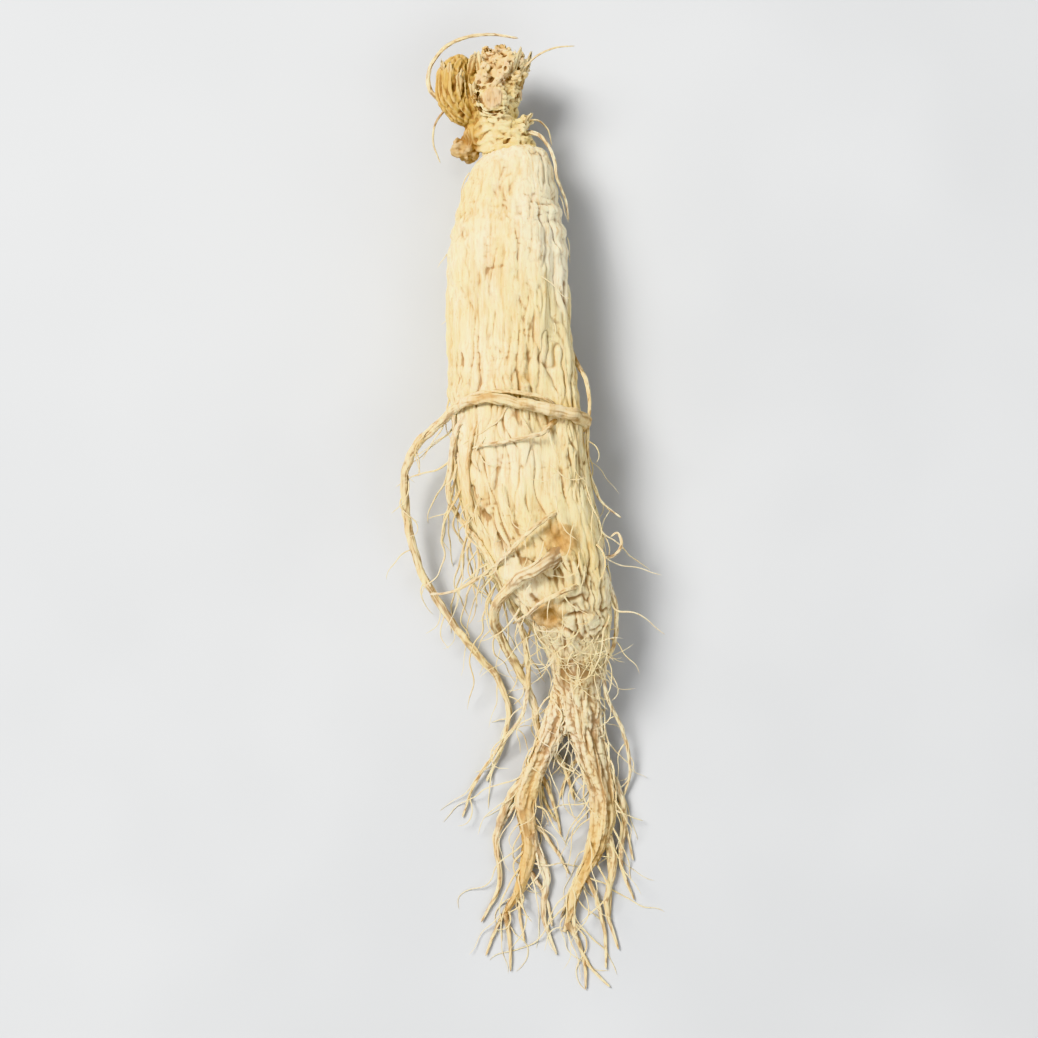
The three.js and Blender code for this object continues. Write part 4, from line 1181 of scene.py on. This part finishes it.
# Hairs on the body: count, y, angle round the body, heading, tilt, reach, bend, sag, radius.
HAIR_FAMILIES = [
    (10, (42, 4), (-0.1, 1.2), (0.0, 0.8), (0.0, 0.4), (4, 9), (-0.8, 1.4), (0.0, 0.3), (0.09, 0.13)),
    (46, (2, -46), (-0.3, 0.7), (-0.2, 0.9), (0.0, 0.6), (5, 17), (-0.8, 1.8), (0.0, 0.5), (0.1, 0.2)),
    (34, (0, -46), (0.6, 1.6), (-0.8, 0.9), (0.1, 0.6), (4, 13), (-1.4, 1.6), (0.2, 0.6), (0.09, 0.16)),
]
HAIR_SCATTER = 1.5
# Rootlets that hang beside the lower left flank, and pale curled fibres on the body's lower end.
TANGLE, TANGLE_SPAN, TANGLE_BROWN = 18, (-6, -40), 0.5
TANGLE_RANGES = [(2.7, 3.5), (-0.5, 0.2), (-0.2, 0.3), (12, 32), (-0.3, 0.9), (0.4, 0.9), (0.16, 0.28)]
FRAY, FRAY_BROWN, BODY_HAIR_BROWN = 70, 0.0, 0.2
FRAY_RANGES = [
    (-38, -50), (0.3, 2.6), (-1.6, 1.6), (0.2, 1.0), (3, 8), (-4.5, 4.5), (0.2, 1.2), (0.07, 0.13),
]
# Hairs along a leg or a side root: where on it, reach and radius, and what all of them share.
LEG_HAIRS, ON_LEG = 44, ((0.1, 1), (6, 20), (0.1, 0.2))
ON_SIDE_ROOT = ((0.35, 1), (3, 11), (0.08, 0.14))
ROOT_HEADING, ROOT_TILT, ROOT_BEND, ROOT_SAG = (0.1, 1.2), (-0.2, 0.6), (-0.5, 2.2), (0.0, 0.7)
ROOT_FLANK = 0.75  # how far from the root's axis they start, as a share of its radius
SIDE_ROOT_HAIRS = {0: 20, 3: 12, 4: 5, 6: 14, 8: 10, 10: 5}  # how many on each of these side roots
# Single hairs of the rhizome, each with its seed and its route.
HEAD_HAIRS = [
    (81, [(-1.0, 58.6, 13.0), (1.2, 60.4, 14.2), (3.6, 62.6, 14.6), (6.8, 64.1, 14.2), (10.4, 64.6, 13.4)]),
    (82, [(-12.4, 54.4, 9.6), (-14.4, 51.6, 8.8), (-14.8, 48.4, 7.2), (-13.6, 45.0, 5.8)]),
    (83, [(0.6, 51.0, 10.4), (3.4, 52.2, 9.6), (5.6, 50.8, 8.0), (6.4, 48.0, 6.6)]),
]
HEAD_HAIR_RADII, HEAD_HAIR_BROWN, HEAD_HAIR_SIDES, HEAD_HAIR_STEP = [0.26, 0.2, 0.17, 0.1], [0.2], 8, 0.5


def on_body(y, a):
    """A point just under the body's skin."""
    return around(y, a, form_radius(y, a) - HAIR_SUNK)


def drawn(ranges, random):
    """A number drawn from each of the ranges, in turn."""
    return [between(ends, next(random)) for ends in ranges]


def body_hairs(shape, random):
    """Hairs from both sides of the body, which mirror each other's ways."""
    seed = 0
    for count, span, *ranges in HAIR_FAMILIES:
        for i in range(count):
            seed += 1
            side = 1 if i % 2 else -1
            y = between(span, i / count) + HAIR_SCATTER * next(random)
            a, heading, tilt, reach, bend, sag, radius = drawn(ranges, random)
            start = on_body(y, a if side == 1 else math.pi - a)
            way = (side * heading, tilt, reach, -side * bend, sag, radius)
            add_hair(shape, start, *way, seed, BODY_HAIR_BROWN)


def tangle(shape, random):
    for i in range(TANGLE):
        y = between(TANGLE_SPAN, i / TANGLE)
        a, *way = drawn(TANGLE_RANGES, random)
        add_hair(shape, on_body(y, a), *way, 200 + i, TANGLE_BROWN)


def fray(shape, random):
    for i in range(FRAY):
        y, a, *way = drawn(FRAY_RANGES, random)
        add_hair(shape, on_body(y, a), *way, 300 + i, FRAY_BROWN)


def hairs_along(shape, random, route, radii, count, kind, seed):
    """Hairs from both flanks of a root."""
    span, reaches, thicknesses = kind
    places, _ = curve(route, PLACES + 1)
    girths = through(radii, np.linspace(0, 1, PLACES + 1))
    ranges = [ROOT_HEADING, ROOT_TILT, reaches, ROOT_BEND, ROOT_SAG, thicknesses]
    for i in range(count):
        side = 1 if i % 2 else -1
        k = round(between(span, (i + next(random)) / count) * PLACES)
        x, y, z = places[k]
        start = (x + ROOT_FLANK * side * girths[k], y, z)
        heading, tilt, reach, bend, sag, radius = drawn(ranges, random)
        way = (side * heading, tilt, reach, -side * bend, sag, radius)
        add_hair(shape, start, *way, seed + i, BODY_HAIR_BROWN)


def hairs():
    shape = Shape()
    random = seeded(HAIR_SEED)
    for seed, route in HEAD_HAIRS:
        add_root(shape, route, HEAD_HAIR_RADII, seed, HEAD_HAIR_BROWN, HEAD_HAIR_SIDES, HEAD_HAIR_STEP)
    body_hairs(shape, random)
    tangle(shape, random)
    fray(shape, random)
    for number, radii in enumerate((FIRST_LEG_RADII, SECOND_LEG_RADII)):
        hairs_along(shape, random, LEGS[number], radii, LEG_HAIRS, ON_LEG, 400 + 50 * number)
    for number, count in SIDE_ROOT_HAIRS.items():
        radii, _, route = SIDE_ROOTS[number]
        hairs_along(shape, random, route, radii, count, ON_SIDE_ROOT, 600 + 30 * number)
    return shape.mesh("hairs")


# Materials

def node(tree, kind, settings=None, **sockets):
    made = tree.nodes.new(kind)
    for key, value in (settings or {}).items():
        setattr(made, key, value)
    for key, value in sockets.items():
        socket = made.inputs[int(key[1:])] if key[1:].isdigit() else made.inputs[key.replace("_", " ")]
        if isinstance(value, bpy.types.NodeSocket):
            tree.links.new(value, socket)
        else:
            socket.default_value = value
    return made


def colour(red, green, blue):
    """A colour from its usual 0 to 255 values."""
    def linear(v):
        v = v / 255
        return v / 12.92 if v <= 0.04045 else ((v + 0.055) / 1.055) ** 2.4
    return (linear(red), linear(green), linear(blue), 1)


def ramp(tree, value, low, high, start, end):
    """A value run smoothly from start at low to end at high."""
    made = node(
        tree, "ShaderNodeMapRange", {"interpolation_type": "SMOOTHSTEP", "clamp": True},
        Value=value, From_Min=low, From_Max=high, To_Min=start, To_Max=end,
    )
    return made.outputs["Result"]


def mixed(tree, amount, first, second):
    return node(tree, "ShaderNodeMix", {"data_type": "RGBA"}, _0=amount, _6=first, _7=second).outputs[2]


def painted(tree, base, layers):
    """A colour under layers. Each has what it follows, from where to where, its shares, its colour."""
    for value, low, high, start, end, coat in layers:
        base = mixed(tree, ramp(tree, value, low, high, start, end), base, coat)
    return base


def times(tree, first, second):
    return node(tree, "ShaderNodeMath", {"operation": "MULTIPLY"}, _0=first, _1=second).outputs[0]


def plus(tree, first, second):
    return node(tree, "ShaderNodeMath", {"operation": "ADD"}, _0=first, _1=second).outputs[0]


def stored(tree, name):
    return node(tree, "ShaderNodeAttribute", {"attribute_name": name}).outputs["Fac"]


def texture(tree, stretch, size, detail=4.0, roughness=0.55, distortion=0.0):
    """Noise over the piece's own space, with features of that size in millimetres."""
    spot = node(tree, "ShaderNodeTexCoord").outputs["Object"]
    mapped = node(tree, "ShaderNodeMapping", Vector=spot, Scale=stretch).outputs[0]
    made = node(
        tree, "ShaderNodeTexNoise", Vector=mapped, Scale=1 / (size * MM),
        Detail=detail, Roughness=roughness, Distortion=distortion,
    )
    return made.outputs["Fac"]


CREAM = colour(231, 217, 170)
PALE = colour(238, 230, 202)
YELLOW = colour(225, 199, 130)
FIBRE = colour(198, 160, 98)
# The brown of the creases, also the colour of painted shade.
CREASE_SHADE = colour(140, 98, 52)
OCHRE = colour(176, 138, 84)
DARK_OCHRE = colour(148, 108, 62)
GOLD = colour(184, 152, 86)
PEACH = colour(206, 178, 143)
UMBER = colour(92, 60, 32)


BUMP, GRAIN_HEIGHT = 0.4, 0.12
SHINE = 0.3
GLOWING_THROUGH, THROUGH_COLOURS, THROUGH_REACH = 0.12, (1.0, 0.6, 0.3), 0.8  # light in the skin


def finish_material(tree, base, height, roughness):
    normal = node(tree, "ShaderNodeBump", Height=height, Strength=BUMP, Distance=GRAIN_HEIGHT * MM)
    surface(tree, Base_Color=base, Roughness=roughness, Normal=normal.outputs[0], Specular_IOR_Level=SHINE,
            Subsurface_Weight=GLOWING_THROUGH, Subsurface_Radius=THROUGH_COLOURS,
            Subsurface_Scale=THROUGH_REACH * MM)


def surface(tree, **sockets):
    shader = node(tree, "ShaderNodeBsdfPrincipled", **sockets)
    node(tree, "ShaderNodeOutputMaterial", Surface=shader.outputs[0])


def new_tree(name):
    material = bpy.data.materials.new(name)
    material.use_nodes = True
    material.node_tree.nodes.clear()
    return material, material.node_tree


def skin_material():
    material, tree = new_tree("root_skin")
    patches = texture(tree, (1, 0.5, 1), 11, 3)
    bands = texture(tree, (1, 0.2, 1), 5, 3)
    fibres = texture(tree, (1, 0.06, 1), 0.8, 5, 0.6, 0.3)
    threads = texture(tree, (1, 0.12, 1), 0.38, 3, 0.6)
    grain = texture(tree, (1, 0.5, 1), 0.25, 3)
    specks = texture(tree, (1, 0.6, 1), 0.7, 2)
    blotch = texture(tree, (1, 0.7, 1), 0.9, 4)
    tone = stored(tree, "tone")
    stain = times(tree, stored(tree, "stain"), ramp(tree, blotch, 0.25, 0.65, 0.45, 1.1))
    base = painted(tree, CREAM, [
        (patches, 0.42, 0.68, 0, 1, PALE),
        (bands, 0.5, 0.75, 0, 0.7, YELLOW),
        # Paler and yellower patches; the paler one over the lower body is painted light.
        (tone, 0.0, 1.0, 0, 0.7, PALE),
        (tone, -1.0, 0.0, 0.75, 0, YELLOW),
        (fibres, 0.46, 0.72, 0, 0.62, FIBRE),
        (threads, 0.5, 0.72, 0, 0.5, FIBRE),
        (threads, 0.3, 0.46, 0.5, 0, PALE),
        (specks, 0.64, 0.76, 0, 0.55, FIBRE),
    ])
    # Painted highlight on the ridges.
    base = mixed(tree, times(tree, stored(tree, "ridge"), 0.4), base, PALE)
    # Darker in the creases and hollows, partly their own brown and partly painted shade; then the scars'
    # stains.
    base = painted(tree, base, [
        (stored(tree, "crease"), 0.06, 0.7, 0, 0.8, CREASE_SHADE),
        (stain, 0.03, 0.4, 0, 0.6, FIBRE),
        (stain, 0.2, 0.8, 0, 0.85, OCHRE),
        (stain, 0.75, 1.15, 0, 0.75, DARK_OCHRE),
    ])
    tip = times(tree, stored(tree, "tip"), ramp(tree, bands, 0.3, 0.7, 0.15, 0.6))
    base = mixed(tree, tip, base, FIBRE)
    height = plus(tree, plus(tree, fibres, times(tree, threads, 0.6)), times(tree, grain, 0.4))
    rough = ramp(tree, fibres, 0.3, 0.7, 0.72, 0.9)
    finish_material(tree, base, height, rough)
    return material


def head_material():
    material, tree = new_tree("rhizome")
    patches = texture(tree, (1, 1, 1), 3.0, 4)
    fibres = texture(tree, (1, 0.25, 1), 0.8, 5, 0.6, 0.6)
    grain = texture(tree, (1, 1, 1), 0.25, 3)
    base = painted(tree, CREAM, [(patches, 0.4, 0.7, 0, 1, YELLOW)])
    pink = times(tree, stored(tree, "pink"), ramp(tree, patches, 0.3, 0.6, 0.9, 0.4))
    base = mixed(tree, pink, base, PEACH)
    base = mixed(tree, stored(tree, "gold"), base, GOLD)
    # Darker round the low bud bed: its own brown and painted shade.
    base = mixed(tree, times(tree, stored(tree, "brown"), 0.7), base, CREASE_SHADE)
    base = mixed(tree, times(tree, stored(tree, "scar"), 0.8), base, PEACH)
    base = painted(tree, base, [(fibres, 0.45, 0.75, 0, 0.5, FIBRE)])
    # Painted highlight on the ridges.
    base = mixed(tree, times(tree, stored(tree, "ridge"), 0.5), base, PALE)
    # Painted shade in hollows, folds and pits, partly their own brown; umber where it is deepest.
    crease = stored(tree, "crease")
    base = painted(tree, base, [(crease, 0.1, 0.7, 0, 0.85, CREASE_SHADE), (crease, 0.7, 1.0, 0, 0.7, UMBER)])
    height = plus(tree, fibres, times(tree, grain, 0.5))
    finish_material(tree, base, height, ramp(tree, fibres, 0.3, 0.7, 0.7, 0.88))
    return material


# The places and sizes of the stage, the lamps and the camera are in metres.
SKY = (0.9, 0.92, 0.95, 1)
SKY_OVERHEAD, SKY_LOW, SKY_SPAN = 0.24, 0.78, (0.05, 0.5)  # how bright it is overhead and low down
FLOOR_SIZE, FLOOR_ROUGHNESS = 14, 0.8
FLOOR_DARK, FLOOR_PALE = (0.50, 0.51, 0.52, 1), (0.53, 0.54, 0.55, 1)
GLOW, GLOW_REACH = 0.6, (0.7, 2.6)  # the far floor glows, to look as pale as the near one
AIM = (0.0, -0.02, 0.01)
# Lamps: name, place, size, power, tint.
LAMPS = [
    ("key", (-0.82, 0.6, 1.2), 0.66, 36, (1.0, 0.98, 0.95)),
    ("fill", (1.3, -0.44, 1.1), 1.5, 9.5, (0.97, 0.98, 1.0)),
    ("top", (0.0, -1.3, 1.54), 1.7, 10.5, (1.0, 1.0, 1.0)),
]


def floor_material():
    material, tree = new_tree("floor")
    speck = texture(tree, (1, 1, 1), 60, 2)
    base = painted(tree, FLOOR_DARK, [(speck, 0.3, 0.7, 0, 1, FLOOR_PALE)])
    spot = node(tree, "ShaderNodeTexCoord").outputs["Object"]
    away = node(tree, "ShaderNodeVectorMath", {"operation": "LENGTH"}, _0=spot).outputs["Value"]
    glow = ramp(tree, away, *GLOW_REACH, 0, GLOW)
    surface(tree, Base_Color=base, Roughness=FLOOR_ROUGHNESS, Emission_Strength=glow, Emission_Color=SKY)
    return material


# Floor, lights and camera

def stage():
    bpy.ops.mesh.primitive_plane_add(size=FLOOR_SIZE, location=(0, 0, 0))
    floor = bpy.context.object
    floor.name = "floor"
    floor.data.materials.append(floor_material())


def lamp(name, spot, size, power, tint):
    light = bpy.data.lights.new(name, "AREA")
    light.size = size
    light.energy = power
    light.color = tint
    holder = bpy.data.objects.new(name, light)
    bpy.context.scene.collection.objects.link(holder)
    holder.location = spot
    holder.rotation_euler = Vector(np.subtract(AIM, spot)).to_track_quat("-Z", "Y").to_euler()


def lights():
    for settings in LAMPS:
        lamp(*settings)
    world = bpy.data.worlds.new("world")
    world.use_nodes = True
    tree = world.node_tree
    way = node(tree, "ShaderNodeTexCoord").outputs["Generated"]
    up = node(tree, "ShaderNodeSeparateXYZ", Vector=way).outputs["Z"]
    background = tree.nodes["Background"]
    background.inputs["Color"].default_value = SKY
    tree.links.new(ramp(tree, up, *SKY_SPAN, SKY_LOW, SKY_OVERHEAD), background.inputs["Strength"])
    bpy.context.scene.world = world
    bpy.context.scene.view_settings.view_transform = "Khronos PBR Neutral"


VIEW_HEIGHT, VIEW_LEVEL, VIEW_CENTRE = 0.184, 0.011, (0.0005, -0.0188)
LENS = 85.0


def camera():
    data = bpy.data.cameras.new("camera")
    data.lens = LENS
    holder = bpy.data.objects.new("camera", data)
    bpy.context.scene.collection.objects.link(holder)
    distance = VIEW_HEIGHT * LENS / data.sensor_width
    holder.location = (*VIEW_CENTRE, distance + VIEW_LEVEL)
    bpy.context.scene.camera = holder


camera()
stage()
lights()
skin = skin_material()
place(main_root(), skin)
place(side_roots(), skin)
place(beard(), skin)
place(hairs(), skin)
crown = head_material()
place(head(), crown)
place(bud_scales(), crown)
